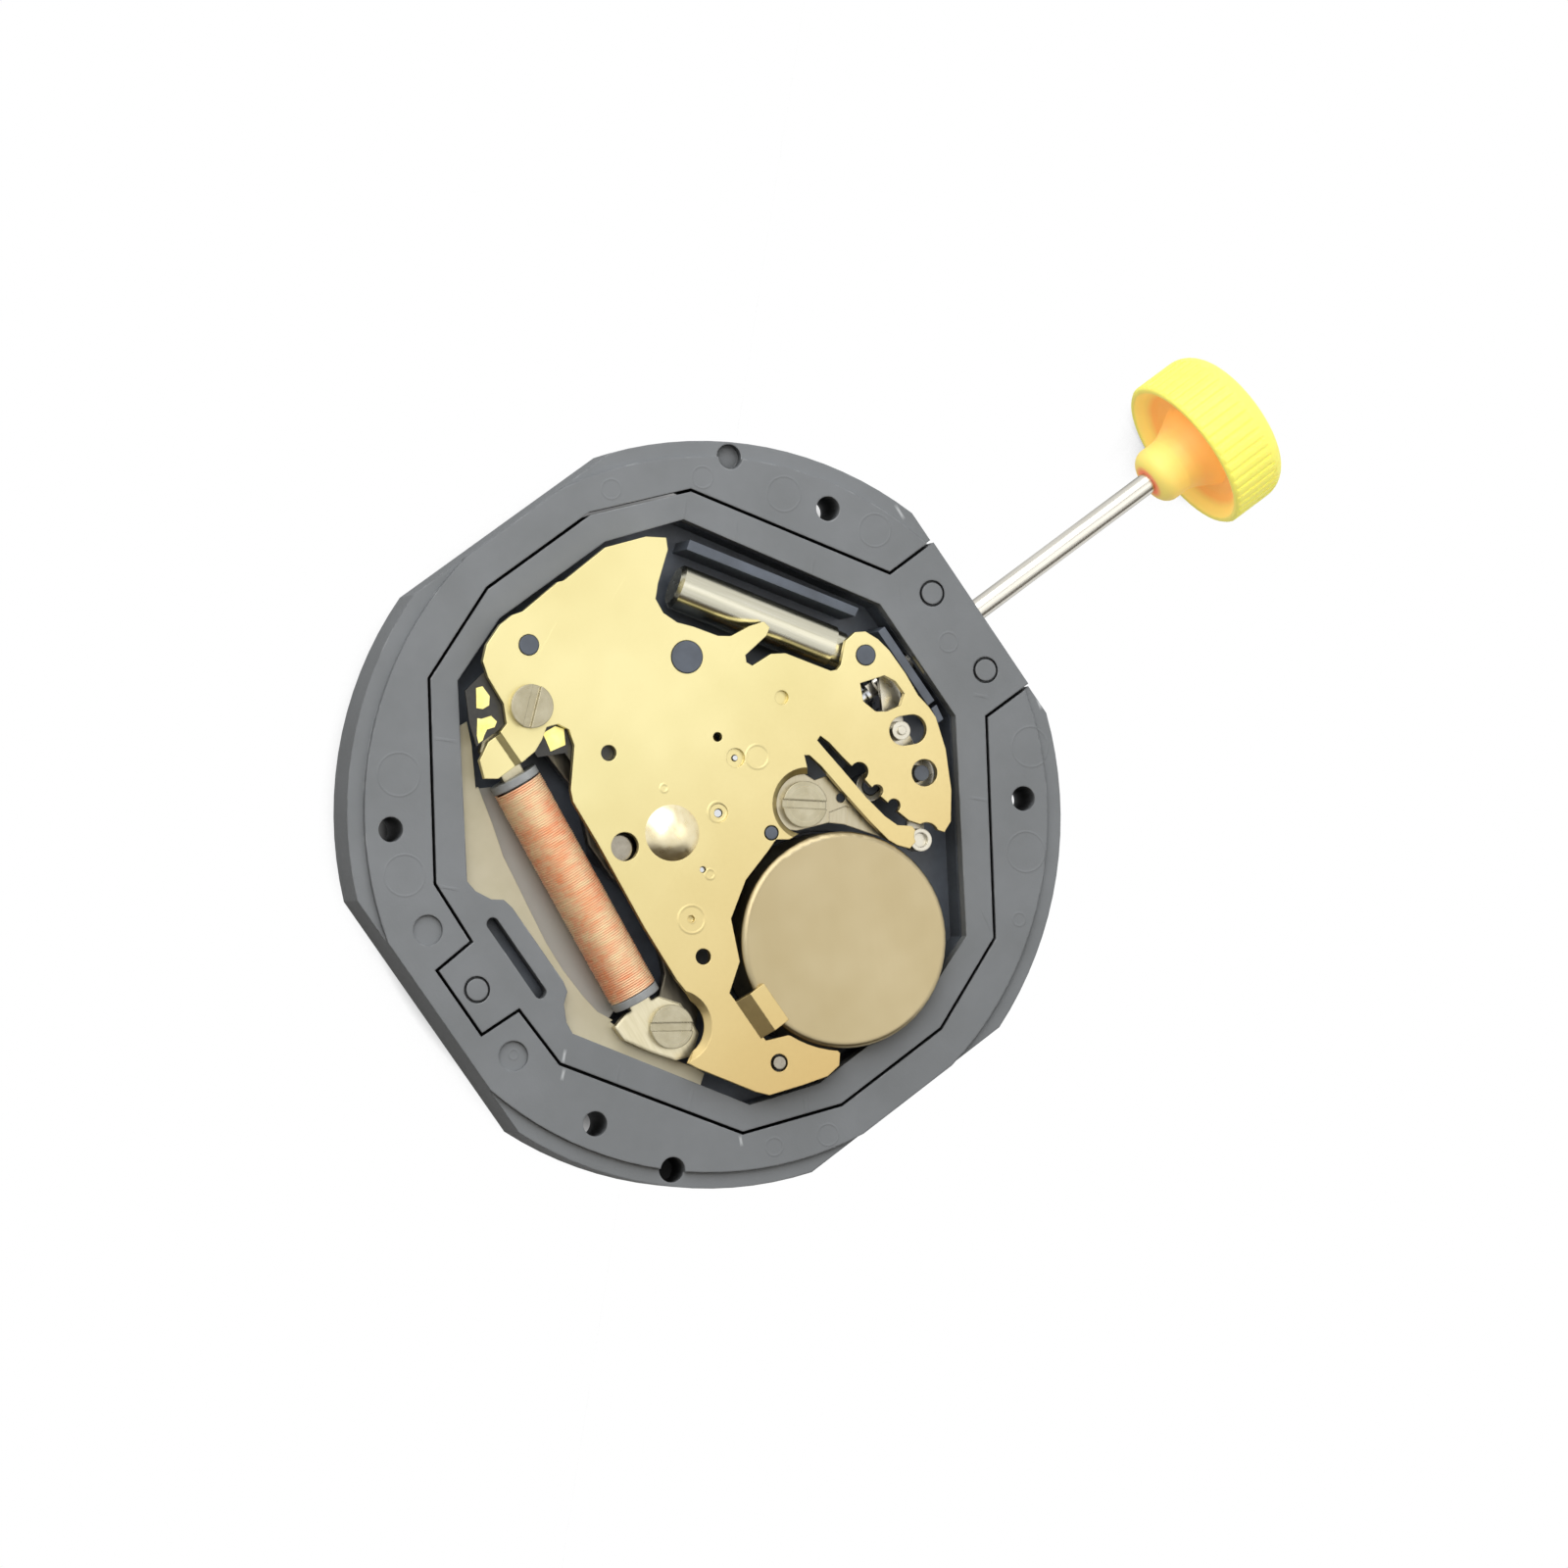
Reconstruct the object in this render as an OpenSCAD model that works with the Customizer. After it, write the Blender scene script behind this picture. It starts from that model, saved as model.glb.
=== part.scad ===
// Three-hand quartz watch movement, seen from the battery side, with its setting stem.
// Millimetres. The origin is on the hands' axis in the plane that the dial rests on.
// +Z points out of the battery side and +X runs out along the winding stem.

/* [Plastic rings and main plate] */
// Radius of the casing ring
ring_r = 11.71; // [11.6:0.01:12.2]
// Distance from the hands' axis to the two long side flats
side_flat = 11.05; // [10.9:0.05:11.3]
// Distance from the hands' axis to the flat opposite the stem
tab_flat = 10.85; // [10.7:0.05:11.2]
// Height of both rings above the dial seat
ring_h = 1.9; // [1.8:0.05:2.1]
// Radius at which the casing ring's outer ledge starts
ledge_r = 11.2; // [11.05:0.05:11.4]
// Depth of that ledge
ledge_drop = 0.18; // [0.1:0.02:0.4]
// Gap between the casing ring and the parts inside it
split_gap = 0.1; // [0.06:0.02:0.16]
// Height of the main plate's rim
rim_h = 1.35; // [1.3:0.01:1.4]
// Thickness of the main plate's floor
floor_t = 0.4; // [0.36:0.02:0.5]
// Thickness of the insulating sheet on the rim
sheet_t = 0.1; // [0.06:0.02:0.14]
// Radius of the four dial-foot holes
foot_hole_r = 0.39; // [0.3:0.01:0.5]
// Their distance from the hands' axis along the stem
foot_x = 8.75; // [8.6:0.05:8.9]
// Their distance from the hands' axis across the stem
foot_y = 5.6; // [5.5:0.05:5.8]

/* [Train bridge] */
// Height of the bridge's underside above the dial seat
bridge_z = 2.3; // [2.26:0.02:2.4]
// Thickness of the bridge
bridge_t = 0.25; // [0.2:0.01:0.3]
// Radius of the domed rotor cap
cap_r = 0.88; // [0.8:0.02:0.95]
// Height of the rotor cap above the bridge
cap_h = 0.34; // [0.2:0.02:0.45]

/* [Battery] */
// Diameter of the button cell
cell_d = 6.8; // [6.6:0.1:6.9]
// Height of the button cell
cell_h = 2.15; // [2.05:0.05:2.2]
// Height of the cell's underside above the dial seat
cell_z = 0.55; // [0.53:0.01:0.6]
// Clearance round the cell
cell_gap = 0.08; // [0.05:0.01:0.12]

/* [Coil and stator] */
// Length of the copper winding
coil_len = 7.5; // [7:0.1:7.6]
// Radius of the copper drum under the outer turns
drum_r = 0.66; // [0.6:0.01:0.7]
// Diameter of the outer turns
wire_d = 0.14; // [0.1:0.01:0.15]
// Number of outer turns drawn
turns = 12; // [8:1:12]
// Thickness of the bobbin's end flanges
flange_t = 0.25; // [0.2:0.01:0.3]
// Thickness of the soft-iron core and of the stator
iron_t = 0.35; // [0.3:0.01:0.36]
// Width of the core inside the coil
core_w = 0.72; // [0.5:0.02:0.76]
// Height of the stator's underside above the dial seat
stator_z = 1.15; // [1.13:0.01:1.16]
// Radius of the rotor's hole in the stator
rotor_hole_r = 0.75; // [0.7:0.01:0.8]

/* [Wheel train] */
// Thickness of the train's wheels
wheel_t = 0.12; // [0.08:0.01:0.12]
// Teeth of the rotor's pinion
rotor_teeth = 6; // [6:1:8]
// Teeth of the fifth wheel
fifth_teeth = 30; // [24:1:36]
// Teeth of the fifth wheel's pinion
fifth_leaves = 10; // [8:1:12]
// Teeth of the seconds wheel
seconds_teeth = 60; // [50:1:70]
// Teeth of the seconds pinion
seconds_leaves = 8; // [8:1:9]
// Teeth of the third wheel
third_teeth = 60; // [56:1:64]
// Teeth of the third wheel's pinion
third_leaves = 8; // [8:1:9]
// Teeth of the centre wheel
centre_teeth = 64; // [60:1:66]
// Teeth of the cannon pinion
cannon_leaves = 12; // [11:1:12]
// Teeth of the minute wheel
minute_teeth = 36; // [34:1:36]
// Teeth of the minute wheel's pinion
minute_leaves = 10; // [10:1:11]
// Teeth of the hour wheel
hour_teeth = 40; // [38:1:40]
// Teeth of the setting wheel
setting_teeth = 20; // [18:1:20]
// Radius of the arbors of the train
arbor_r = 0.08; // [0.05:0.01:0.09]
// Radial clearance of a turning arbor or pipe
run_gap = 0.02; // [0.01:0.005:0.03]
// Radius of the rotor's magnet
magnet_r = 0.6; // [0.5:0.01:0.64]

/* [Hand posts] */
// Radius of the post for the hour hand
hour_post_r = 0.75; // [0.7:0.01:0.78]
// Radius of the post for the minute hand
minute_post_r = 0.45; // [0.4:0.01:0.46]
// Radius of the post for the seconds hand
seconds_post_r = 0.1; // [0.08:0.01:0.12]
// Reach of the hour post below the dial seat
hour_reach = 1.0; // [0.8:0.05:1.1]
// Reach of the minute post below the dial seat
minute_reach = 1.35; // [1.2:0.05:1.45]
// Reach of the seconds post below the dial seat
seconds_reach = 1.7; // [1.5:0.05:1.75]

/* [Stem and knob] */
// Height of the stem's axis above the dial seat
stem_z = 0.9; // [0.88:0.01:0.92]
// Radius of the stem
stem_r = 0.35; // [0.3:0.01:0.36]
// Outward travel of the stem to its setting position
stem_pull = 0.8; // [0.6:0.05:0.8]
// Distance from the hands' axis to the knob's boss
knob_x = 18.6; // [16:0.1:22]
// Diameter of the knob's grip
knob_d = 5.3; // [4:0.1:5.4]
// Length of the knob's grip
knob_len = 2.3; // [2:0.1:3]
// Length of the knob's boss ahead of the grip
boss_len = 1.5; // [1:0.1:2]
// Number of ribs on the grip
knob_ribs = 48; // [32:4:60]

/* [Crystal] */
// Radius of the crystal's can
can_r = 0.72; // [0.6:0.01:0.75]
// Length of the crystal's can
can_len = 5.8; // [5.2:0.1:5.9]
// Height of the can's axis above the dial seat
can_z = 1.5; // [1.4:0.01:1.5]

/* [Hidden] */
$fn = 48;
e = 0.01;
tall = 20;

// Places in the plane, from the photograph's measured grid
cell_pos = [1.03, -5.6];
rotor_pos = [-1.85, 0.42];
third_pos = [1.46, 1.08];
clamp_screw_pos = [2.54, -1.45];
north_peg = [-1.98, 7.77];
big_peg = [2.0, 4.55];
east_peg = [6.87, 1.23];
stator_pin_pos = [-3.2, 0.92];
south_pin_pos = [-2.95, -7.47];
stator_pin_r = 0.3;
stator_pin_head_r = 0.42;
south_pin_r = 0.2;
pin_depth = 0.5;
south_pin_depth = 0.6;
lever_pivot = [6.3, -2.9];
lever_release = [6.5, -1.4];
lever_tail = [5.05, -4.6];
yoke_pivot = [4.9, -2.4];
clutch_shift = 0.3;
cap_pos = [-1.6, 0.38];
coil_mid = [-4.96, 0.67];
coil_turn = 84.3;
coil_along = [cos(coil_turn), sin(coil_turn)];
coil_left = [-sin(coil_turn), cos(coil_turn)];
coil_head = coil_mid + (coil_len / 2 + flange_t) * coil_along;
coil_foot = coil_mid - (coil_len / 2 + flange_t) * coil_along;
bridge_screw_pos = coil_head + [1.513, 1.55];
coil_screw_pos = coil_foot + [0.357, -1.29];
can_start = [3.25, 6.48];
can_turn = -55.9;

// Wheel places that follow from the tooth counts
rotor_fifth = 1.6;
fifth_centre = 1.84;
rotor_dist = norm(rotor_pos);
fifth_turn = atan2(rotor_pos[1], rotor_pos[0])
    + acos((rotor_dist * rotor_dist + fifth_centre * fifth_centre - rotor_fifth * rotor_fifth)
    / (2 * rotor_dist * fifth_centre));
fifth_pos = fifth_centre * [cos(fifth_turn), sin(fifth_turn)];
rotor_mod = 2 * rotor_fifth / (rotor_teeth + fifth_teeth);
fifth_mod = 2 * fifth_centre / (fifth_leaves + seconds_teeth);
third_mod = 2 * norm(third_pos) / (seconds_leaves + third_teeth);
centre_mod = 2 * norm(third_pos) / (third_leaves + centre_teeth);
motion_dist = 2.3;
minute_mod = 2 * motion_dist / (cannon_leaves + minute_teeth);
hour_mod = 2 * motion_dist / (minute_leaves + hour_teeth);
setting_x = 4.36;
setting_dist = minute_mod * (minute_teeth + setting_teeth) / 2;
minute_turn = acos((setting_x * setting_x + motion_dist * motion_dist
    - setting_dist * setting_dist) / (2 * setting_x * motion_dist));
minute_pos = motion_dist * [cos(minute_turn), sin(minute_turn)];
setting_pos = [setting_x, 0];

// Levels of the train, from the dial side up
cover_t = 0.12;
hour_z = 0.19;
hour_t = 0.12;
motion_z = 0.4;
motion_t = 0.14;
web_z = 0.66;
web_top = 0.9;
centre_z = 0.98;
third_z = 1.24;
seconds_z = 1.62;
fifth_z = 1.9;
leaf_over = 0.03;
pivot_depth = 0.14;
magnet_z = stator_z;
magnet_h = 0.4;
core_z = stator_z + iron_t;
coil_z = core_z + iron_t / 2;
coil_r = drum_r + e + wire_d;
bridge_top = bridge_z + bridge_t;
cell_r = cell_d / 2;
cell_top = cell_z + cell_h;
stem_bore_r = stem_r + 0.03;

// Keyless work along the stem
pilot_x = 4.3;
pilot_r = 0.2;
square_x = 5.6;
square_w = 0.46;
collar_x = 7.0;
groove_x = 7.15;
groove_w = 0.5;
neck_r = 0.2;
lever_pin_r = 0.2;
clutch_x = 5.75;
clutch_len = 0.9;
clutch_r = 0.55;
trough_x = 5.42;
trough_end = 8.4;
trough_w = 1.5;
lever_z = 1.56;
lever_t = 0.18;
lever_nose = [groove_x + groove_w / 2, 0.21];
lever_nose_r = 0.33;
lever_out = [lever_nose[0] + 0.85, -0.2];
yoke_z = 1.28;
yoke_t = 0.14;
yoke_tip = [6.34, -0.5];

// Outlines
tab_end = tab_flat - 0.71;
split_half = [[10.56, 2.83], [9.29, 2.82], [5.39, 8.67], [2.22, 9.94], [-1.88, 9.94],
    [-5.07, 8.72], [-8.63, 3.44], [-8.72, 1.35], [-tab_end, 1.27]];
flange_half = [[8.42, 2.15], [4.62, 8.02], [2.1, 8.9], [-2.1, 8.9], [-4.33, 8.1],
    [-7.7, 2.9], [-7.66, 2.5], [-7.4, 2.0], [-7.08, 1.75], [-7.0, 1.4]];

function flip(p) = [for (i = [len(p) - 1:-1:0]) [p[i][0], -p[i][1]]];
function both(p) = concat(p, flip(p));
function left_normal(a, b) = [a[1] - b[1], b[0] - a[0]] / norm(b - a);
function cut(a, u, b, v) = let (d = u[0] * v[1] - u[1] * v[0], w = b - a)
    a + u * (w[0] * v[1] - w[1] * v[0]) / d;
// A counter-clockwise outline drawn in by d on every side
function inset(p, d) = let (n = len(p)) [for (i = [0:n - 1])
    let (a = p[(i + n - 1) % n], b = p[i], c = p[(i + 1) % n],
        k = left_normal(a, b) * d, m = left_normal(b, c) * d,
        straight = abs(left_normal(a, b) * left_normal(b, c)) > 0.9999)
    straight ? b + k : cut(a + k, b - a, b + m, c - b)];
split_line = both(split_half);
plate_line = concat([[side_flat - e, -2.73], [side_flat - e, 2.73]],
    [for (i = [1:2 * len(split_half) - 2]) inset(split_line, split_gap)[i]]);
flange_line = both(flange_half);

// Phase of gear B that meshes with gear A, whose centre sees B's in direction d
function mesh_phase(phase_a, d, teeth_a, teeth_b) =
    d + 180 - (phase_a - d) * teeth_a / teeth_b + 180 / teeth_b;
function heading(a, b) = atan2(b[1] - a[1], b[0] - a[0]);
rotor_phase = heading(rotor_pos, fifth_pos);
fifth_phase = mesh_phase(rotor_phase, rotor_phase, rotor_teeth, fifth_teeth);
fifth_leaf_phase = heading(fifth_pos, [0, 0]);
seconds_phase = mesh_phase(fifth_leaf_phase, fifth_leaf_phase, fifth_leaves, seconds_teeth);
seconds_leaf_phase = heading([0, 0], third_pos);
third_phase = mesh_phase(seconds_leaf_phase, seconds_leaf_phase, seconds_leaves, third_teeth);
third_leaf_phase = heading(third_pos, [0, 0]);
centre_phase = mesh_phase(third_leaf_phase, third_leaf_phase, third_leaves, centre_teeth);
cannon_phase = minute_turn;
minute_phase = mesh_phase(cannon_phase, minute_turn, cannon_leaves, minute_teeth);
minute_leaf_phase = minute_turn + 180;
hour_phase = mesh_phase(minute_leaf_phase, minute_leaf_phase, minute_leaves, hour_teeth);
setting_phase = mesh_phase(minute_phase, heading(minute_pos, setting_pos),
    minute_teeth, setting_teeth);

tip_part = 0.8;
root_part = 1.05;
tooth_shape = [[-0.27, -root_part], [-0.13, tip_part], [0.13, tip_part], [0.27, -root_part]];
function gear_tip(teeth, m) = m * (teeth / 2 + tip_part);
function gear_points(teeth, m, phase) = [for (i = [0:teeth - 1]) for (s = tooth_shape)
    let (a = phase + (i + s[0]) * 360 / teeth) (teeth * m / 2 + s[1] * m) * [cos(a), sin(a)]];

module toothed(teeth, m, phase, t) {
    linear_extrude(t)
        polygon(gear_points(teeth, m, phase));
}

module disc(p, r, z0, z1) {
    translate([p[0], p[1], z0])
        cylinder(r = r, h = z1 - z0);
}

module slab(points, z0, z1) {
    translate([0, 0, z0])
        linear_extrude(z1 - z0)
            polygon(points);
}

// A straight bar with round ends, flat in the plane
module bar(a, b, r, z0, z1) {
    disc(a, r, z0, z1);
    disc(b, r, z0, z1);
    translate([a[0], a[1], z0])
        rotate([0, 0, heading(a, b)])
            translate([0, -r, 0])
                cube([norm(b - a), 2 * r, z1 - z0]);
}

module along_stem(x) {
    translate([x, 0, stem_z])
        rotate([0, 90, 0])
            children();
}

// Arms and arbor hole of a train wheel
module crossed_wheel(teeth, m, phase, t, hub_r, bore_r) {
    rim_r = m * (teeth / 2 - 3.2);
    difference() {
        toothed(teeth, m, phase, t);
        translate([0, 0, -e])
            cylinder(r = bore_r, h = t + 2 * e);
        for (i = [0:3])
            rotate([0, 0, 90 * i + 45])
                translate([(rim_r + hub_r) / 2, 0, -e])
                    cylinder(r = (rim_r - hub_r) * 0.4, h = t + 2 * e);
    }
}

/* Rings and plates */

module ring_blank(r, z0, z1) {
    intersection() {
        disc([0, 0], r, z0, z1);
        translate([-tab_flat, -side_flat, z0 - 1])
            cube([tab_flat + side_flat, 2 * side_flat, tall]);
    }
}

step_hole_r = 0.4;
step_holes = [[-7.55, -8.25], [7.05, 8.75]];
recess_r = 0.47;
recess_depth = 0.12;
recess_x = -(tab_flat + 8.72) / 2 + 0.185;
ring_recesses = [[recess_x, 2.4], [recess_x - 0.05, -2.35]];

module casing_ring() {
    color("#85888a")
    difference() {
        ring_blank(ring_r, 0, ring_h);
        slab(split_line, -1, ring_h + 1);
        translate([10.5, -2.83, -1])
            cube([2, 5.66, 4]);
        difference() {
            disc([0, 0], ring_r + 1, ring_h - ledge_drop, ring_h + 1);
            disc([0, 0], ledge_r, 0, ring_h + 2);
        }
        for (x = [-foot_x, foot_x])
            for (y = [-foot_y, foot_y])
                disc([x, y], foot_hole_r, -1, ring_h + 1);
        disc(step_holes[0], step_hole_r, 0.5, ring_h + 1);
        disc(step_holes[1], step_hole_r, ring_h - 0.5, ring_h + 1);
        for (p = ring_recesses)
            disc(p, recess_r, ring_h - recess_depth, ring_h + 1);
    }
}

stake_r = 0.34;
stake_groove = 0.08;
stake_sink = 0.15;
stake_shank_r = 0.26;
stakes = [[-tab_end + 0.74, 0], [side_flat - 1, 1.45], [side_flat - 0.95, -1.55]];
slot_x = [-8.0, -7.6];
slot_y = [-1.45, 1.55];

module well() {
    disc(cell_pos, cell_r + cell_gap, cell_z - 0.2, tall);
}

module ring_slot(r) {
    slot_r = (slot_x[1] - slot_x[0]) / 2;
    slot_mid = (slot_x[1] + slot_x[0]) / 2;
    bar([slot_mid, slot_y[0] + slot_r], [slot_mid, slot_y[1] - slot_r], r, 0, tall);
}

module inner_ring() {
    color("#828587")
    difference() {
        slab(plate_line, rim_h + sheet_t, ring_h);
        slab(flange_line, 0, tall);
        well();
        ring_slot((slot_x[1] - slot_x[0]) / 2);
        for (p = stakes) {
            disc(p, stake_shank_r + run_gap, 0, tall);
            disc(p, stake_r + stake_groove, ring_h - stake_sink, tall);
        }
        // Room for the lever's nose when the stem is out
        hull()
            for (at = [lever_nose, lever_out])
                disc(at, lever_nose_r + 0.06, 0, lever_z + lever_t + 0.05);
    }
}

sheet_edge = [[-4.72, 6.85], [-5.0, 6.2], [-5.7, 5.0], [-6.0, 3.8], [-6.3, 2.8], [-6.45, 1.8],
    [-6.6, 0.8], [-6.75, -0.2], [-6.8, -1.2], [-6.75, -2.2], [-6.65, -2.9], [-6.4, -3.4],
    [-5.85, -4.85], [-5.0, -6.2], [-4.85, -6.5]];
sheet_rim = inset(flange_line, -0.05);
function along(a, b, k) = a + k * (b - a);
trough_edge = [for (i = [2:11]) sheet_edge[i]];
trough_z = 0.95;
trough_in = [coil_foot + 0.62 * coil_left, coil_head + 0.62 * coil_left];

sheet_margin = 0.5;

module insulating_sheet() {
    outer = inset(plate_line, sheet_margin);
    color("#cbbd97") {
    // The sheet's edge is bent down beside the coil and runs on under it
    slab(concat(trough_edge, [for (i = [9:-1:0]) trough_edge[i] + [sheet_t, 0]]), trough_z, rim_h + sheet_t);
    slab(concat(trough_edge, trough_in), trough_z, trough_z + sheet_t);
    difference() {
        slab(outer, rim_h, rim_h + sheet_t);
        slab(concat([for (i = [0:4]) sheet_rim[i]], [along(sheet_rim[4], sheet_rim[5], 0.24)],
            sheet_edge, [along(sheet_rim[15], sheet_rim[14], 0.26)],
            [for (i = [15:19]) sheet_rim[i]]), 0, tall);
        well();
        ring_slot(slot_x[1] - slot_x[0]);
        for (p = stakes)
            disc(p, stake_shank_r + run_gap, 0, tall);
    }
    }
}

cradle_wall = [[4.15, 7.2], [4.42, 7.38], [7.75, 2.47], [7.5, 2.32]];
east_wall = [[7.85, -1.35], [8.12, -1.35], [8.12, 1.5], [7.85, 1.5]];
end_wall = [[7.8, -2.0], [8.02, -2.0], [8.1, -1.5], [7.88, -1.5]];
recess_gap = 0.13;
platform_wall = 0.4;
motion_r = gear_tip(hour_teeth, hour_mod) + recess_gap;
minute_r = gear_tip(minute_teeth, minute_mod) + recess_gap;
setting_r = gear_tip(setting_teeth, minute_mod) + 0.1;
cover_lip = 0.62;
cover_screw_pos = [[-1.513, 1.803], [1.177, -2.039], [5.08, 1.25]];
bush_r = 1.0;
post_r = 0.42;
yoke_post_r = 0.25;

module motion_outline(extra, z0, z1) {
    disc([0, 0], motion_r + extra, z0, z1);
    disc(minute_pos, minute_r + extra, z0, z1);
    disc(setting_pos, setting_r + extra, z0, z1);
}

module main_plate() {
    color("#5d646e") {
    // The wall's top runs on over the stem and the lever
    slab(east_wall, lever_z + lever_t + 0.05, ring_h);
    difference() {
        union() {
            difference() {
                slab(plate_line, 0, rim_h);
                slab(flange_line, floor_t, tall);
            }
            intersection() {
                motion_outline(platform_wall, floor_t - e, web_top);
                slab(flange_line, 0, tall);
            }
            translate([pilot_x, -0.6, floor_t - e])
                cube([square_x - 0.1 - pilot_x, 1.2, rim_h - floor_t]);
            slab(cradle_wall, floor_t - e, ring_h);
            slab(east_wall, floor_t - e, ring_h - 0.1);
            slab(end_wall, floor_t - e, ring_h);
            disc(north_peg, 0.6, floor_t - e, bridge_z);
            disc(north_peg, 0.31, floor_t, bridge_top + 0.03);
            disc(big_peg, 0.75, floor_t - e, bridge_z);
            disc(big_peg, 0.5, floor_t, bridge_top + 0.03);
            disc(east_peg, 0.45, floor_t - e, bridge_z);
            disc(east_peg, 0.31, floor_t, bridge_top + 0.03);
            disc([1.05, -1.5], 0.2, web_top - e, bridge_top);
            disc(bridge_screw_pos, 0.85, floor_t - e, stator_z);
            disc(coil_screw_pos, 0.85, floor_t - e, stator_z);
            disc(stator_pin_pos, 0.55, floor_t - e, stator_z);
            disc(clamp_screw_pos, 0.6, floor_t - e, web_top);
            disc(south_pin_pos, 0.55, floor_t - e, bridge_z);
            disc(lever_pivot, 0.35, floor_t - e, lever_z - e);
            disc(lever_pivot, 0.25, floor_t, bridge_z);
            disc(yoke_pivot, 0.4, floor_t - e, yoke_z - e);
            disc(yoke_pivot, yoke_post_r, floor_t, yoke_z + yoke_t + 0.05);
            disc(setting_pos, 0.2, 0.14, web_z);
            for (p = stakes) {
                disc(p, stake_shank_r, rim_h - e, ring_h - 0.05);
                disc(p, stake_r, ring_h - stake_sink, ring_h + 0.03);
            }
        }
        difference() {
            union() {
                disc([0, 0], motion_r, -1, web_z);
                disc(minute_pos, minute_r, -1, web_z);
                disc(setting_pos, setting_r, -1, web_z - 0.06);
                motion_outline(cover_lip, -1, cover_t);
            }
            disc(setting_pos, 0.2, cover_t, tall);
            disc(minute_pos, 0.2, cover_t, tall);
        }
        well();
        translate([trough_x, -trough_w / 2, 0.25])
            cube([trough_end - trough_x, trough_w, tall]);
        translate([7.6, -1.15, lever_z - 0.06])
            cube([0.8, 0.6, tall]);
        along_stem(pilot_x - 1)
            cylinder(r = pilot_r + run_gap, h = trough_x - pilot_x + 1 + e);
        along_stem(trough_end - e)
            cylinder(r = stem_bore_r, h = 4);
        disc([0, 0], bush_r, -1, tall);
        disc(rotor_pos, arbor_r + run_gap, web_top - pivot_depth, tall);
        disc(fifth_pos, arbor_r + run_gap, web_top - pivot_depth, tall);
        disc(third_pos, arbor_r + run_gap, web_top - pivot_depth, tall);
        for (p = [bridge_screw_pos, coil_screw_pos])
            disc(p, post_r, 0.15, tall);
        disc(clamp_screw_pos, post_r, web_z, tall);
        disc(stator_pin_pos, stator_pin_r, stator_z - pin_depth, tall);
        disc(south_pin_pos, south_pin_r, bridge_z - south_pin_depth, tall);
        for (p = cover_screw_pos)
            disc(p, 0.14, -1, cover_t + 0.2);
        for (s = [-1, 1])
            at_can(can_len - 0.05)
                translate([0, s * 0.3, 0])
                    cylinder(r = lead_r + 0.05, h = lead_len + 0.1);
    }
    }
}

/* Train bridge */

bridge_line = [[-3.63, 7.7], [-3.48, 8.2], [-3.08, 8.55], [-2.38, 8.8], [-1.88, 8.82],
    [-1.53, 8.72], [-0.08, 8.82], [0.12, 8.74], [1.82, 8.82], [3.1, 8.35], [3.62, 7.95],
    [3.45, 7.62], [2.57, 6.95], [2.22, 6.6], [2.17, 6.1], [2.37, 5.6], [2.72, 5.2], [3.22, 4.5],
    [3.57, 4.25], [4.27, 4.15], [4.72, 4.0], [4.77, 3.75], [4.52, 3.6], [3.6, 3.5], [3.5, 3.3],
    [3.6, 3.1], [4.32, 3.05], [4.72, 2.8], [5.62, 1.5], [5.82, 1.4], [6.0, 1.45], [6.6, 1.98],
    [7.0, 2.02], [7.3, 1.84], [7.5, 1.4], [7.6, 0.9], [7.62, 0.0], [7.56, -0.8], [7.64, -1.3],
    [7.64, -1.7], [7.32, -2.7], [6.72, -3.85], [6.12, -4.65], [5.75, -4.8], [5.4, -4.35],
    [5.0, -3.82], [4.84, -3.3], [4.64, -2.5], [4.52, -1.7], [4.36, -0.9], [4.27, -0.3], [4.15, 0.04],
    [3.98, -0.02], [4.02, -0.4], [4.12, -1.2], [4.26, -2.4], [4.42, -3.25], [4.6, -3.72],
    [4.98, -4.02], [5.0, -4.45], [4.5, -4.55], [4.12, -4.1], [3.92, -3.1], [3.74, -1.8],
    [3.62, -0.75], [3.5, -0.25], [3.36, -0.15], [3.22, -0.5], [3.0, -1.3], [2.0, -2.1],
    [1.4, -2.0], [1.05, -1.75], [0.6, -1.9], [-0.5, -2.2],
    [-1.6, -2.9], [-2.15, -4.15], [-3.0, -4.75], [-2.9, -6.65], [-2.2, -6.95], [-1.2, -8.1],
    [-1.15, -8.4], [-1.4, -8.7], [-1.9, -8.75], [-2.7, -8.5], [-3.8, -8.1], [-4.1, -7.75],
    [-5.2, -6.05], [-5.35, -5.75], [-4.6, -5.35], [-4.2, -4.75], [-4.1, -4.1], [-4.15, -3.4],
    [-4.05, -1.5], [-3.9, 0.0], [-3.75, 1.5], [-3.65, 3.0], [-3.5, 3.35], [-2.6, 4.4],
    [-2.45, 4.9], [-2.65, 5.25], [-3.0, 5.38],
    coil_head + [1.213, 0.5], coil_head + [0.813, 0.33], coil_head + [0.263, 0.3], [-4.3, 6.1],
    [-3.98, 6.2], [-3.7, 6.75]];
neck_line = [for (p = [[0.313, 0.3], [-0.587, 0.3], [-0.937, 0.55], [-0.737, 1.1], [-0.187, 1.4],
    [0.313, 1.4]]) coil_head + p];
neck_drop = 0.2;
neck_step = 0.08;
tab_y = [-6.5, -5.1];
tab_t = 0.2;

// Round notches beside the click spring: x, y and radius
click_notches = [[4.55, -1.62, 0.3], [4.68, -2.45, 0.2], [4.86, -3.15, 0.22]];
lead_window = [[6.2, 0.62], [6.56, 0.5], [7.0, 0.36], [7.2, 0.0], [7.22, -0.5], [6.9, -0.72],
    [6.42, -0.62], [6.1, -0.4], [5.95, 0.1]];
dish_rise = 0.2;

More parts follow.
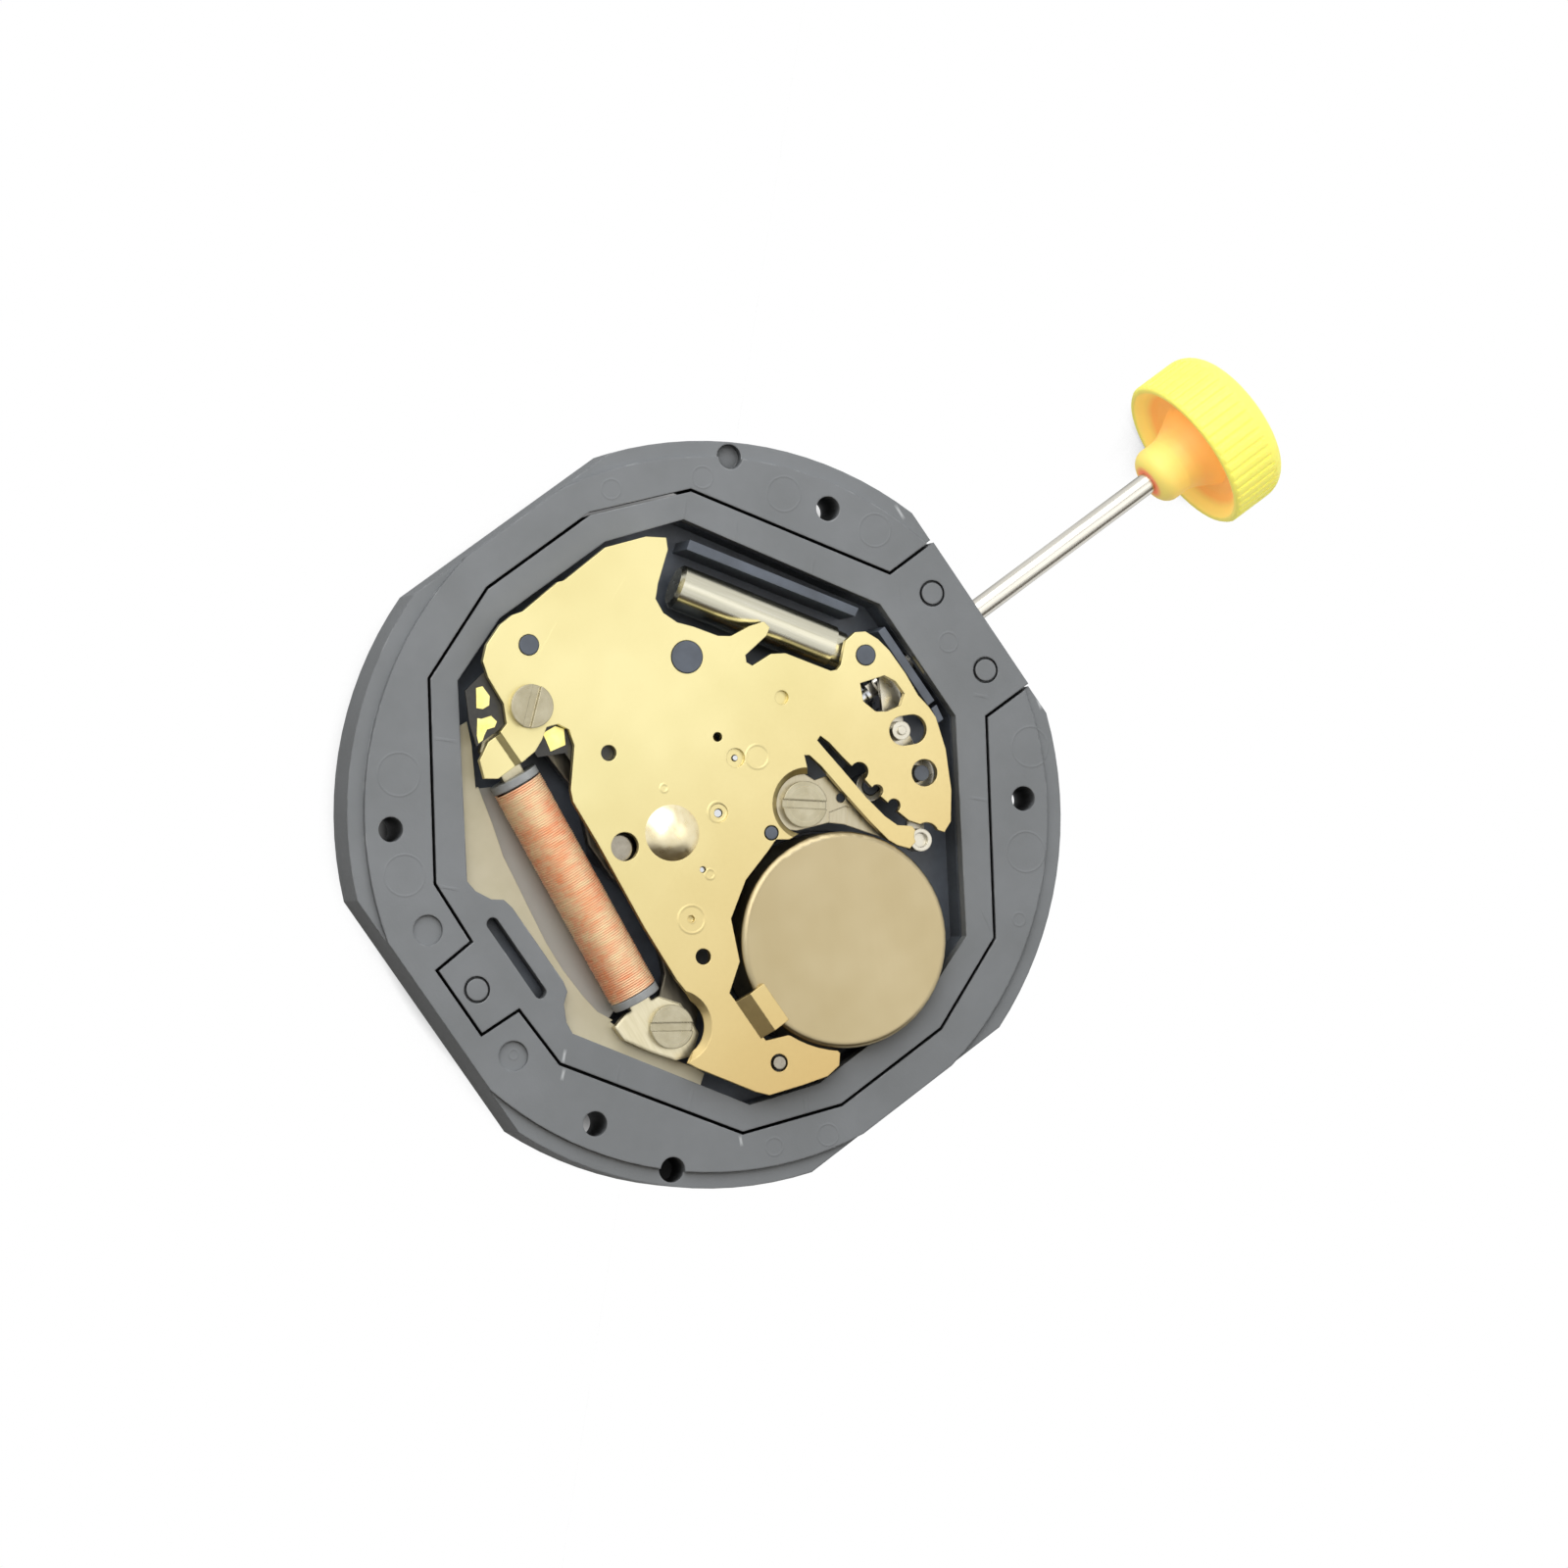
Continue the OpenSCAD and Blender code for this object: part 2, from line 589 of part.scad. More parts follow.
// A screw's hole through the bridge, with its dished lip
module screw_dish(p, r) {
    disc(p, r, 0, tall);
    translate([p[0], p[1], bridge_top - dish_rise])
        cylinder(r1 = r, r2 = r + dish_rise + e, h = dish_rise + e);
}

module train_bridge() {
    color("#ecd898")
    difference() {
        union() {
            slab(bridge_line, bridge_z, bridge_top);
            slab(neck_line, bridge_z - neck_drop, bridge_top - neck_drop);
            // The bent step between the bridge and its neck
            translate([coil_head[0], coil_head[1] + 0.3, 0])
                rotate([90, 0, 0])
                    mirror([0, 0, 1])
                        linear_extrude(1.1)
                            polygon([[neck_step, bridge_z - neck_drop],
                                [neck_step + 0.12, bridge_z - neck_drop],
                                [neck_step + 0.36, bridge_z], [neck_step + 0.36, bridge_top],
                                [neck_step + 0.22, bridge_top], [neck_step, bridge_top - neck_drop]]);
            // The battery tab climbs beside the cell and lies on its rim
            translate([0, tab_y[0], 0])
                rotate([90, 0, 0])
                    mirror([0, 0, 1])
                        linear_extrude(tab_y[1] - tab_y[0])
                            polygon([[-3.1, bridge_z], [-2.85, bridge_z], [-2.45, cell_top],
                                [-2.0, cell_top], [-2.0, cell_top + tab_t],
                                [-2.55, cell_top + tab_t], [-3.0, bridge_top],
                                [-3.1, bridge_top]]);
        }
        disc(cell_pos, cell_r + cell_gap, 0, cell_top - e);
        disc(bridge_screw_pos, 0.3, 0, tall);
        disc(north_peg, 0.33, 0, tall);
        disc(big_peg, 0.52, 0, tall);
        disc(east_peg, 0.33, 0, tall);
        disc([1.05, -1.5], 0.24, 0, tall);
        disc([-1.83, 3.58], 0.25, 0, tall);
        disc([-3.1, 0.92], 0.45, 0, tall);
        disc([1.36, 1.95], 0.15, 0, tall);
        disc([3.81, 1.74], 0.22, bridge_z + 0.1, tall);
        disc([-3.03, -3.33], 0.25, 0, tall);
        disc([-2.67, -2.15], 0.12, bridge_z + 0.1, tall);
        disc(south_pin_pos, south_pin_r + 0.08, 0, tall);
        disc([6.3, -2.9], 0.43, 0, tall);
        disc(lever_tail + [0.15, 0.05], 0.42, 0, tall);
        for (c = click_notches)
            disc([c[0], c[1]], c[2], 0, tall);
        slab(lead_window, 0, tall);
        screw_dish(clamp_screw_pos, 0.95);
        screw_dish(coil_screw_pos, 0.95);
        bar([6.5, -1.42], [6.78, -1.56], 0.47, 0, tall);
        disc(third_pos, 0.3, bridge_top - 0.12, tall);
        disc(third_pos, arbor_r + run_gap, 0, tall);
        disc([0, 0], seconds_shaft_r + run_gap, 0, tall);
        disc([0, 0], 0.3, bridge_top - 0.04, tall);
        disc(fifth_pos, arbor_r + run_gap, 0, tall);
        disc(rotor_pos, arbor_r + run_gap, 0, tall);
    }
}

module rotor_cap() {
    dome_r = (cap_r * cap_r + cap_h * cap_h) / (2 * cap_h);
    color("#f5e3a8")
    intersection() {
        disc(cap_pos, cap_r, bridge_top, tall);
        translate([cap_pos[0], cap_pos[1], bridge_top + cap_h - dome_r])
            sphere(r = dome_r);
    }
}

/* Battery */

can_wall = 0.2;
can_round = 0.18;
seal_w = 0.25;
cap_step = 0.15;
seal_h = 1.0;
contact_drop = 0.15;
contact_r = 1.5;
contact_hole_r = 0.9;
contact_arm = 2.7;
contact_arm_r = 0.5;

module battery_can() {
    color("#d8ceb4")
    difference() {
        union() {
            disc(cell_pos, cell_r, cell_z + cap_step, cell_top - can_round);
            disc(cell_pos, cell_r - can_round, cell_top - 2 * can_round, cell_top);
            translate([cell_pos[0], cell_pos[1], cell_top - can_round])
                rotate_extrude()
                    translate([cell_r - can_round, 0])
                        circle(r = can_round);
        }
        disc(cell_pos, cell_r - can_wall, 0, cell_top - can_wall);
    }
}

module battery_gasket() {
    color("#3a3a3c")
    difference() {
        disc(cell_pos, cell_r - can_wall, cell_z + cap_step, cell_z + seal_h);
        disc(cell_pos, cell_r - can_wall - seal_w, 0, tall);
    }
}

module battery_cap() {
    color("#c9c6bd")
        disc(cell_pos, cell_r - can_wall - seal_w, cell_z, cell_z + seal_h);
}

module negative_contact() {
    contact_z = cell_z - contact_drop;
    color("#cfc48e")
    difference() {
        union() {
            disc(cell_pos, contact_r, contact_z, cell_z);
            bar(cell_pos, cell_pos + [0, contact_arm], contact_arm_r, contact_z, cell_z);
        }
        disc(cell_pos, contact_hole_r, 0, tall);
    }
}

/* Coil, stator and crystal */

module at_coil(back) {
    translate([coil_mid[0], coil_mid[1], coil_z])
        rotate([0, 0, coil_turn])
            translate([-back, 0, 0])
                rotate([0, 90, 0])
                    children();
}

// The outer turns: one unbroken wire that leaves and meets the flanges squarely
lead_bend = 0.16;
wind_r = drum_r + e + wire_d / 2;
wind_start = wire_d + lead_bend;
turn_steps = 24;
bend_steps = 4;
bend_sweep = lead_bend / wind_r * 180 / PI;
turn_rise = (coil_len - 2 * wind_start) / turns;
first_lead = concat([[0, 0], [0, wire_d]], [for (i = [1:bend_steps - 1])
    let (a = 90 * i / bend_steps) [bend_sweep * (1 - cos(a)), wire_d + lead_bend * sin(a)]]);
wound = [for (i = [0:turns * turn_steps]) [bend_sweep + 360 * i / turn_steps,
    wind_start + turn_rise * i / turn_steps]];
last_turn = 2 * bend_sweep + 360 * turns;
last_lead = [for (i = [len(first_lead) - 1:-1:0])
    [last_turn - first_lead[i][0], coil_len - first_lead[i][1]]];
wire_path = [for (s = concat(first_lead, wound, last_lead))
    [wind_r * cos(s[0]), wind_r * sin(s[0]), s[1]]];
wire_sides = 6;
wire_rings = len(wire_path);
wire_points = [for (i = [0:wire_rings - 1])
    let (a = wire_path[max(i - 1, 0)], b = wire_path[min(i + 1, wire_rings - 1)],
        run = (b - a) / norm(b - a), out = [wire_path[i][0], wire_path[i][1], 0] / wind_r,
        side = cross(run, out) / norm(cross(run, out)), up = cross(side, run))
    for (k = [0:wire_sides - 1]) wire_path[i]
        + wire_d / 2 * (up * cos(60 * k + 30) + side * sin(60 * k + 30))];
wire_faces = concat([[for (k = [0:wire_sides - 1]) k]],
    [for (i = [0:wire_rings - 2]) for (k = [0:wire_sides - 1]) for (half = [0, 1])
        let (a = i * wire_sides, b = a + wire_sides, n = (k + 1) % wire_sides)
        half == 0 ? [a + k, b + k, b + n] : [a + k, b + n, a + n]],
    [[for (k = [wire_sides - 1:-1:0]) (wire_rings - 1) * wire_sides + k]]);
wire_gap = min([for (i = [0:wire_rings - 1 - turn_steps / 2])
    for (j = [i + turn_steps / 2:wire_rings - 1]) norm(wire_path[i] - wire_path[j])]) - wire_d;

module coil_winding() {
    echo(least_gap_between_turns = wire_gap);
    color("#e08a5e")
        at_coil(coil_len / 2)
            polyhedron(points = wire_points, faces = wire_faces);
}

sleeve_r = 0.5;

module coil_drum() {
    color("#d97f55")
    at_coil(coil_len / 2)
        difference() {
            cylinder(r = drum_r, h = coil_len);
            translate([0, 0, -1])
                cylinder(r = sleeve_r, h = coil_len + 2);
        }
}

module coil_bobbin() {
    color("#9c9fa0")
    at_coil(coil_len / 2 + flange_t)
        difference() {
            union() {
                cylinder(r = coil_r - 0.02, h = flange_t);
                cylinder(r = sleeve_r, h = coil_len + 2 * flange_t);
                translate([0, 0, coil_len + flange_t])
                    cylinder(r = coil_r - 0.02, h = flange_t);
            }
            translate([-iron_t / 2, -core_w / 2, -1])
                cube([iron_t, core_w, coil_len + 2]);
        }
}

core_reach = coil_len / 2 + flange_t + 0.3;
upper_eye = [for (p = [[-0.487, 0.25], [-0.437, 1.25], [0.663, 2.2], [2.163, 2.25], [2.263, 1.05],
    [0.863, 0.95], [0.213, 0.2]]) coil_head + p];
lower_eye = [for (p = [[-0.6, -0.12], [0.607, -0.29], [1.057, -0.89], [1.0, -1.99], [0.4, -2.45],
    [-0.1, -2.25], [-0.65, -1.5], [-1.1, -0.75], [-1.12, -0.25]]) coil_foot + p];

module coil_core() {
    color("#b9b4a2")
    difference() {
        union() {
            translate([coil_mid[0], coil_mid[1], core_z])
                rotate([0, 0, coil_turn])
                    translate([-core_reach, -core_w / 2, 0])
                        cube([2 * core_reach, core_w, iron_t]);
            slab(upper_eye, core_z, core_z + iron_t);
            slab(lower_eye, core_z, core_z + iron_t);
        }
        disc(bridge_screw_pos, post_r + run_gap, 0, tall);
        disc(coil_screw_pos, post_r + run_gap, 0, tall);
    }
}

stator_line = [coil_head + [0.813, 2.15], [-3.25, 5.2], [-3.15, 3.0], [-3.75, 1.5], [-3.75, 0.2],
    [-3.3, -1.2], [-4.1, -3.2], [-4.75, -3.75],
    coil_foot + [-0.393, -0.44], coil_foot + [-0.393, -1.39],
    coil_foot + [0.057, -2.09], coil_foot + [0.957, -1.99], [-3.5, -4.4], [-1.95, -0.75],
    [-0.8, -0.35], [-0.7, 1.2], [-1.3, 2.4],
    [-2.3, 5.6],
    coil_head + [2.163, 2.15]];

module stator() {
    color("#a8a59b")
    difference() {
        slab(stator_line, stator_z, stator_z + iron_t);
        disc(rotor_pos, rotor_hole_r, 0, tall);
        disc(bridge_screw_pos, post_r + run_gap, 0, tall);
        disc(coil_screw_pos, post_r + run_gap, 0, tall);
        disc(stator_pin_pos, stator_pin_r + run_gap, 0, tall);
    }
}

module at_can(out) {
    translate([can_start[0], can_start[1], can_z])
        rotate([0, 0, can_turn])
            translate([out, 0, 0])
                rotate([0, 90, 0])
                    children();
}

module crystal_can() {
    color("#c9c3ae")
    at_can(0)
        rotate_extrude()
            polygon([[0, 0], [can_r - 0.12, 0], [can_r, 0.12], [can_r, can_len - 0.35],
                [can_r - 0.08, can_len - 0.35], [can_r - 0.08, can_len], [0, can_len]]);
}

lead_r = 0.1;
lead_len = 0.45;

module crystal_leads() {
    color("#d6d2c4")
    for (s = [-1, 1])
        at_can(can_len)
            translate([0, s * 0.3, 0])
                cylinder(r = lead_r, h = lead_len);
}

/* Circuit */

board_z = bridge_z - 0.14;
board_t = 0.08;
board_line = concat([[-2.9, 8.2], [3.0, 7.9], [2.2, 7.2], [1.75, 6.4], [2.0, 5.45],
    [3.3, 3.7], [3.0, 3.2], [-2.9, 3.3], [-2.9, 4.35]],
    [for (p = [[0.863, 0.100], [0.863, 0.550], [-0.587, 1.350],
        [-0.287, 2.250], [0.163, 3.100], [1.163, 3.250]]) coil_head + p]);
// Outlines of the three pads, from the coil's head
pad_shapes = [
    [[0.49, 2.97], [0.69, 2.90], [0.70, 2.52],
        [0.52, 2.30], [0.29, 2.32], [0.14, 2.46]],
    [[-0.02, 2.19], [0.07, 2.10], [0.38, 2.00], [0.43, 1.75], [0.27, 1.65],
        [0.03, 1.73], [-0.14, 1.64], [-0.28, 1.54], [-0.44, 1.54], [-0.35, 1.76]],
    [[1.42, 0.61], [1.88, 0.56], [2.06, 0.33],
        [1.81, -0.10], [1.30, 0.01], [1.38, 0.37]]];

module circuit_board() {
    color("#c7a75c")
    difference() {
        slab(board_line, board_z, board_z + board_t);
        disc(bridge_screw_pos, 0.8, 0, tall);
        disc(north_peg, 0.65, 0, tall);
        disc(big_peg, 0.8, 0, tall);
        translate([coil_head[0] - 1.14, coil_head[1] + 0.05, 0])
            cube([1.6, 1.45, 4]);
    }
}

module circuit_pads() {
    color("#f0cf4e")
    for (shape = pad_shapes)
        slab([for (q = shape) coil_head + q], board_z + board_t, board_z + board_t + 0.03);
}

module circuit_chip() {
    color("#1c1c1e")
        translate([-0.9, 5.2, board_z - 0.35])
            cube([1.8, 1.8, 0.35]);
}

/* Wheel train */

module on(p, z) {
    translate([p[0], p[1], z])
        children();
}

module arbor(p, z0, z1) {
    disc(p, arbor_r, z0, z1);
}

foot_z = web_top - pivot_depth + e;
head_z = bridge_z + pivot_depth;

module rotor_magnet() {
    color("#55585c")
    difference() {
        disc(rotor_pos, magnet_r, magnet_z, magnet_z + magnet_h);
        disc(rotor_pos, arbor_r + 0.04, 0, tall);
    }
}

module rotor_pinion() {
    color("#d9d3c0") {
        arbor(rotor_pos, foot_z, head_z);
        disc(rotor_pos, arbor_r + 0.04, magnet_z, fifth_z - leaf_over);
        on(rotor_pos, fifth_z - leaf_over)
            toothed(rotor_teeth, rotor_mod, rotor_phase, wheel_t + 2 * leaf_over);
    }
}

hub_r = 0.3;

module fifth_wheel() {
    color("#d9bb62")
        on(fifth_pos, fifth_z)
            crossed_wheel(fifth_teeth, rotor_mod, fifth_phase, wheel_t, hub_r, arbor_r);
}

module fifth_pinion() {
    leaf_z = seconds_z - leaf_over;
    color("#b8bcc0") {
        arbor(fifth_pos, foot_z, head_z);
        on(fifth_pos, leaf_z)
            toothed(fifth_leaves, fifth_mod, fifth_leaf_phase, fifth_z - leaf_z);
    }
}

module seconds_wheel() {
    color("#d9bb62")
        on([0, 0], seconds_z)
            crossed_wheel(seconds_teeth, fifth_mod, seconds_phase, wheel_t, hub_r,
                seconds_shaft_r);
}

module seconds_arbor() {
    leaf_z = third_z - leaf_over;
    color("#b8bcc0") {
        disc([0, 0], seconds_post_r, -seconds_reach, head_z);
        disc([0, 0], seconds_shaft_r, -minute_reach - seat_gap, head_z);
        on([0, 0], leaf_z)
            toothed(seconds_leaves, third_mod, seconds_leaf_phase, seconds_z - leaf_z);
    }
}

module third_wheel() {
    color("#d9bb62")
        on(third_pos, third_z)
            crossed_wheel(third_teeth, third_mod, third_phase, wheel_t, hub_r, arbor_r);
}

module third_pinion() {
    leaf_z = centre_z - leaf_over;
    color("#b8bcc0") {
        arbor(third_pos, foot_z, bridge_top - 0.05);
        on(third_pos, leaf_z)
            toothed(third_leaves, centre_mod, third_leaf_phase, third_z - leaf_z);
    }
}

cannon_seat_r = minute_post_r - 0.05;
cannon_bore_r = seconds_post_r + 0.05;
cannon_pipe_r = minute_post_r + 0.02;
seconds_shaft_r = seconds_post_r + 0.02;
hour_hub_r = hour_post_r + 0.2;
seat_gap = 0.03;

module centre_wheel() {
    color("#d9bb62")
        on([0, 0], centre_z)
            crossed_wheel(centre_teeth, centre_mod, centre_phase, wheel_t, 0.55, cannon_seat_r);
}

module cannon_pinion() {
    color("#b8bcc0")
    difference() {
        union() {
            disc([0, 0], minute_post_r, -minute_reach, centre_z);
            disc([0, 0], cannon_pipe_r, -hour_reach - seat_gap, centre_z);
            disc([0, 0], cannon_seat_r, centre_z, centre_z + wheel_t + 0.04);
            on([0, 0], motion_z - leaf_over)
                toothed(cannon_leaves, minute_mod, cannon_phase, motion_t + 2 * leaf_over);
        }
        disc([0, 0], cannon_bore_r, -tall, tall);
    }
}

module centre_bush() {
    color("#c9a24e")
    difference() {
        disc([0, 0], bush_r, web_z, web_top + 0.03);
        disc([0, 0], cannon_pipe_r + run_gap, 0, tall);
    }
}

module minute_wheel() {
    color("#e8e4d6")
    difference() {
        union() {
            on(minute_pos, motion_z)
                toothed(minute_teeth, minute_mod, minute_phase, motion_t);
            on(minute_pos, hour_z - leaf_over)
                toothed(minute_leaves, hour_mod, minute_leaf_phase, motion_z - hour_z + 2 * leaf_over);
        }
        disc(minute_pos, 0.2 + run_gap, 0, tall);
    }
}

module hour_wheel() {
    color("#d9bb62")
    difference() {
        union() {
            on([0, 0], hour_z)
                toothed(hour_teeth, hour_mod, hour_phase, hour_t);
            disc([0, 0], hour_post_r, -hour_reach, hour_z);
            disc([0, 0], hour_hub_r, 0, hour_z + hour_t);
        }
        disc([0, 0], cannon_pipe_r + run_gap, -tall, tall);
    }
}

module setting_wheel() {
    color("#b8bcc0")
        on(setting_pos, motion_z)
            difference() {
                toothed(setting_teeth, minute_mod, setting_phase, motion_t);
                disc([0, 0], 0.2 + run_gap, -1, 1);
            }
}

/* Keyless work */

clutch_groove_x = 0.36;
clutch_groove_w = 0.42;
clutch_neck_r = 0.4;
clutch_teeth = 14;

module clutch_wheel() {
    color("#b8bcc0")
    along_stem(clutch_x)
        difference() {
            union() {
                toothed(clutch_teeth, 2 * clutch_r / (clutch_teeth + 2), 0, 0.2);
                translate([0, 0, 0.1])
                    cylinder(r = clutch_neck_r, h = clutch_len - 0.1);
                translate([0, 0, 0.2])
                    cylinder(r = clutch_r - 0.04, h = clutch_groove_x - 0.2);
                translate([0, 0, clutch_groove_x + clutch_groove_w])
                    cylinder(r = clutch_r - 0.04, h = clutch_len - clutch_groove_x - clutch_groove_w);
            }
            translate([-square_w / 2 - run_gap, -square_w / 2 - run_gap, -1])
                cube([square_w + 2 * run_gap, square_w + 2 * run_gap, 3]);
        }
}

stem_end = knob_x + boss_len + knob_len - 1.2;

module winding_stem() {
    color("#c4c0b6") {
        along_stem(pilot_x)
            cylinder(r = pilot_r, h = square_x - pilot_x + e);
        translate([square_x, -square_w / 2, stem_z - square_w / 2])
            cube([collar_x - square_x, square_w, square_w]);
        along_stem(collar_x)
            cylinder(r = stem_r, h = groove_x - collar_x);
        along_stem(groove_x - e)
            cylinder(r = neck_r, h = groove_w + 2 * e);
        along_stem(groove_x + groove_w)
            cylinder(r = stem_r, h = stem_end - groove_x - groove_w);
    }
}

rib_depth = 0.035;
grip_round = 0.8;
hollow_depth = 0.65;
boss_r = 0.95;
boss_round = 0.45;

module setting_knob() {
    grip_r = knob_d / 2;
    grip_end = boss_len + knob_len;
    color("#ffe04a")
    along_stem(knob_x)
        difference() {
            union() {
                translate([0, 0, boss_round])
                    cylinder(r = boss_r, h = boss_len + hollow_depth - boss_round + e);
                cylinder(r = boss_r - boss_round, h = 2 * boss_round);
                rotate_extrude()
                    translate([boss_r - boss_round, boss_round])
                        circle(r = boss_round);
                rotate_extrude()
                    polygon([[0, boss_len * 0.6], [boss_r - 0.02, boss_len * 0.6],
                        [boss_r + 0.1, boss_len * 0.85], [grip_r * 0.55, boss_len + hollow_depth * 0.85],
                        [grip_r * 0.7, boss_len + hollow_depth * 0.8],
                        [grip_r * 0.84, boss_len + hollow_depth * 0.45], [grip_r - 0.2, boss_len],
                        [grip_r - 0.08, boss_len], [grip_r, boss_len + 0.1],
                        [grip_r, grip_end - grip_round], [0, grip_end - grip_round]]);
                translate([0, 0, grip_end - 2 * grip_round])
                    cylinder(r = grip_r - grip_round, h = 2 * grip_round);
                rotate_extrude()
                    translate([grip_r - grip_round, grip_end - grip_round])
                        circle(r = grip_round);
            }
            translate([0, 0, -1])
                cylinder(r = stem_r, h = stem_end - knob_x + 1);
            for (i = [0:knob_ribs - 1])
                rotate([0, 0, 360 * i / knob_ribs])
                    translate([grip_r - rib_depth, -0.06, boss_len - 1])
                        cube([1, 0.12, knob_len + 2]);
        }
}

tail_r = 0.36;

module setting_lever() {
    color("#c2bfb4")
    difference() {
        union() {
            disc(lever_pivot, 0.6, lever_z, lever_z + lever_t);
            bar(lever_pivot, lever_release, 0.4, lever_z, lever_z + lever_t);
            bar(lever_release, lever_nose, lever_nose_r, lever_z, lever_z + lever_t);
            bar(lever_pivot, lever_tail, 0.28, lever_z, lever_z + lever_t);
            disc(lever_nose, lever_pin_r, stem_z + neck_r + 0.03, lever_z + e);
            disc(lever_release, 0.3, lever_z, bridge_top - 0.15);
            disc(lever_release, 0.14, lever_z, bridge_top - 0.05);
            disc(lever_tail, tail_r, lever_z, bridge_z - 0.03);
        }
        disc(lever_pivot, 0.25 + run_gap, 0, tall);
        disc(lever_tail, tail_r - 0.13, bridge_z - 0.2, tall);
    }
}

module yoke() {
    color("#b5b2a8")
    difference() {
        union() {
            bar(yoke_pivot, yoke_pivot + [clutch_shift, 0], 0.46, yoke_z, yoke_z + yoke_t);
            bar(yoke_pivot + [clutch_shift, 0], yoke_tip - [0, 0.2], 0.18, yoke_z, yoke_z + yoke_t);
            translate([yoke_tip[0] - 0.08, yoke_tip[1] - 0.2, stem_z - 0.2])
                cube([0.16, 0.26, yoke_z - stem_z + 0.2 + yoke_t]);
        }
        bar(yoke_pivot, yoke_pivot + [clutch_shift, 0], yoke_post_r + run_gap, 0, tall);
    }
}

clamp_z = 2.0;
clamp_t = 0.14;
clamp_line = [[1.3, -1.5], [1.6, -0.6], [2.2, -0.25], [3.0, -0.4], [3.3, -1.05], [3.82, -1.2],
    [3.95, -1.9], [4.15, -3.1], [4.35, -3.9], [4.15, -3.9], [3.3, -2.75], [2.9, -2.4], [1.9, -2.0]];
clamp_step = [[3.1, -2.15], [3.65, -2.3], [4.22, -2.9], [4.6, -4.2], [3.9, -4.2], [2.8, -2.6]];
clamp_hole = [3.68, -2.0];

module clamp_plate() {
    color("#c9c6bc")
    difference() {
        slab(clamp_line, clamp_z, clamp_z + clamp_t);
        disc(clamp_screw_pos, post_r + run_gap, 0, tall);
        disc(cell_pos, cell_r + cell_gap, 0, tall);
        disc(clamp_hole, 0.15, 0, tall);
        slab(clamp_step, clamp_z + clamp_t - 0.06, tall);
    }
}

/* Screws and pins */

screw_shank_r = 0.22;
screw_len = 0.9;
slot_w = 0.26;
slot_depth = 0.12;

module screw(p, z, head_r, slot_turn) {
    translate([p[0], p[1], z])
        difference() {
            union() {
                cylinder(r = head_r, h = 0.22);
                translate([0, 0, -screw_len])
                    cylinder(r = screw_shank_r, h = screw_len + e);
            }
            rotate([0, 0, slot_turn])
                translate([-1, -slot_w / 2, 0.22 - slot_depth])
                    cube([2, slot_w, 1]);
        }
}

module threaded_post(p, z0, z1) {
    difference() {
        disc(p, post_r, z0, z1);
        disc(p, screw_shank_r, z1 - 1.0, tall);
    }
}

module screw_posts() {
    color("#c9a24e") {
        threaded_post(bridge_screw_pos, 0.15, bridge_z);
        threaded_post(coil_screw_pos, 0.15, core_z + iron_t);
        threaded_post(clamp_screw_pos, web_z, clamp_z + clamp_t);
    }
}

module bridge_screw() {
    color("#c8c4b8")
        screw(bridge_screw_pos, bridge_top, 0.68, 40);
}

module coil_screw() {
    color("#c8c4b8")
        screw(coil_screw_pos, core_z + iron_t, 0.69, -35);
}

module clamp_screw() {
    color("#c8c4b8")
        screw(clamp_screw_pos, clamp_z + clamp_t, 0.73, -38);
}

module steel_pins() {
    color("#cfcdc6") {
        disc(stator_pin_pos, stator_pin_r, stator_z - pin_depth, stator_z + iron_t);
        disc(stator_pin_pos, stator_pin_head_r, stator_z + iron_t, bridge_z - 0.1);
        disc(south_pin_pos, south_pin_r, bridge_z - south_pin_depth, bridge_top + 0.05);
    }
}

/* Dial side */

module motion_cover() {
    color("#c9c6bc")
    difference() {
        union() {
            disc([0, 0], motion_r + cover_lip - 0.03, 0, cover_t);
            disc(minute_pos, minute_r + cover_lip - 0.03, 0, cover_t);
            disc(setting_pos, setting_r + cover_lip - 0.03, 0, cover_t);
        }
        disc([0, 0], hour_hub_r + 0.1, -1, 1);
        for (p = cover_screw_pos) {
            disc(p, 0.15, -1, 1);
            disc(p, 0.26, -1, 0.07);
        }
    }
}

module cover_screws() {
    color("#c8c4b8")
    for (p = cover_screw_pos)
        difference() {
            union() {
                disc(p, 0.24, 0, 0.07);
                disc(p, 0.13, 0.06, 0.3);
            }
            translate([p[0], p[1], 0])
                rotate([0, 0, 30])
                    cube([1, 0.08, 0.06], center = true);
        }
}

casing_ring();
inner_ring();
main_plate();
insulating_sheet();
train_bridge();
rotor_cap();
battery_can();
battery_gasket();
battery_cap();
negative_contact();
coil_winding();
coil_drum();
coil_bobbin();
coil_core();
stator();
rotor_magnet();
rotor_pinion();
fifth_wheel();
fifth_pinion();
seconds_wheel();
seconds_arbor();
third_wheel();
third_pinion();
centre_wheel();
cannon_pinion();
centre_bush();
minute_wheel();
hour_wheel();
setting_wheel();
clutch_wheel();
winding_stem();
setting_knob();
setting_lever();
yoke();
clamp_plate();
circuit_board();
circuit_pads();
circuit_chip();
crystal_can();
crystal_leads();
screw_posts();
bridge_screw();
coil_screw();
clamp_screw();
steel_pins();
motion_cover();
cover_screws();
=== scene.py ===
"""A three-hand quartz watch movement with its setting stem, dressed for rendering.

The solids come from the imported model, in metres, with the origin on the hands' axis in the
plane that the dial rests on. +Z points out of the battery side and +X along the stem.
"""
import math
import random

import bpy
from mathutils import Matrix, Vector


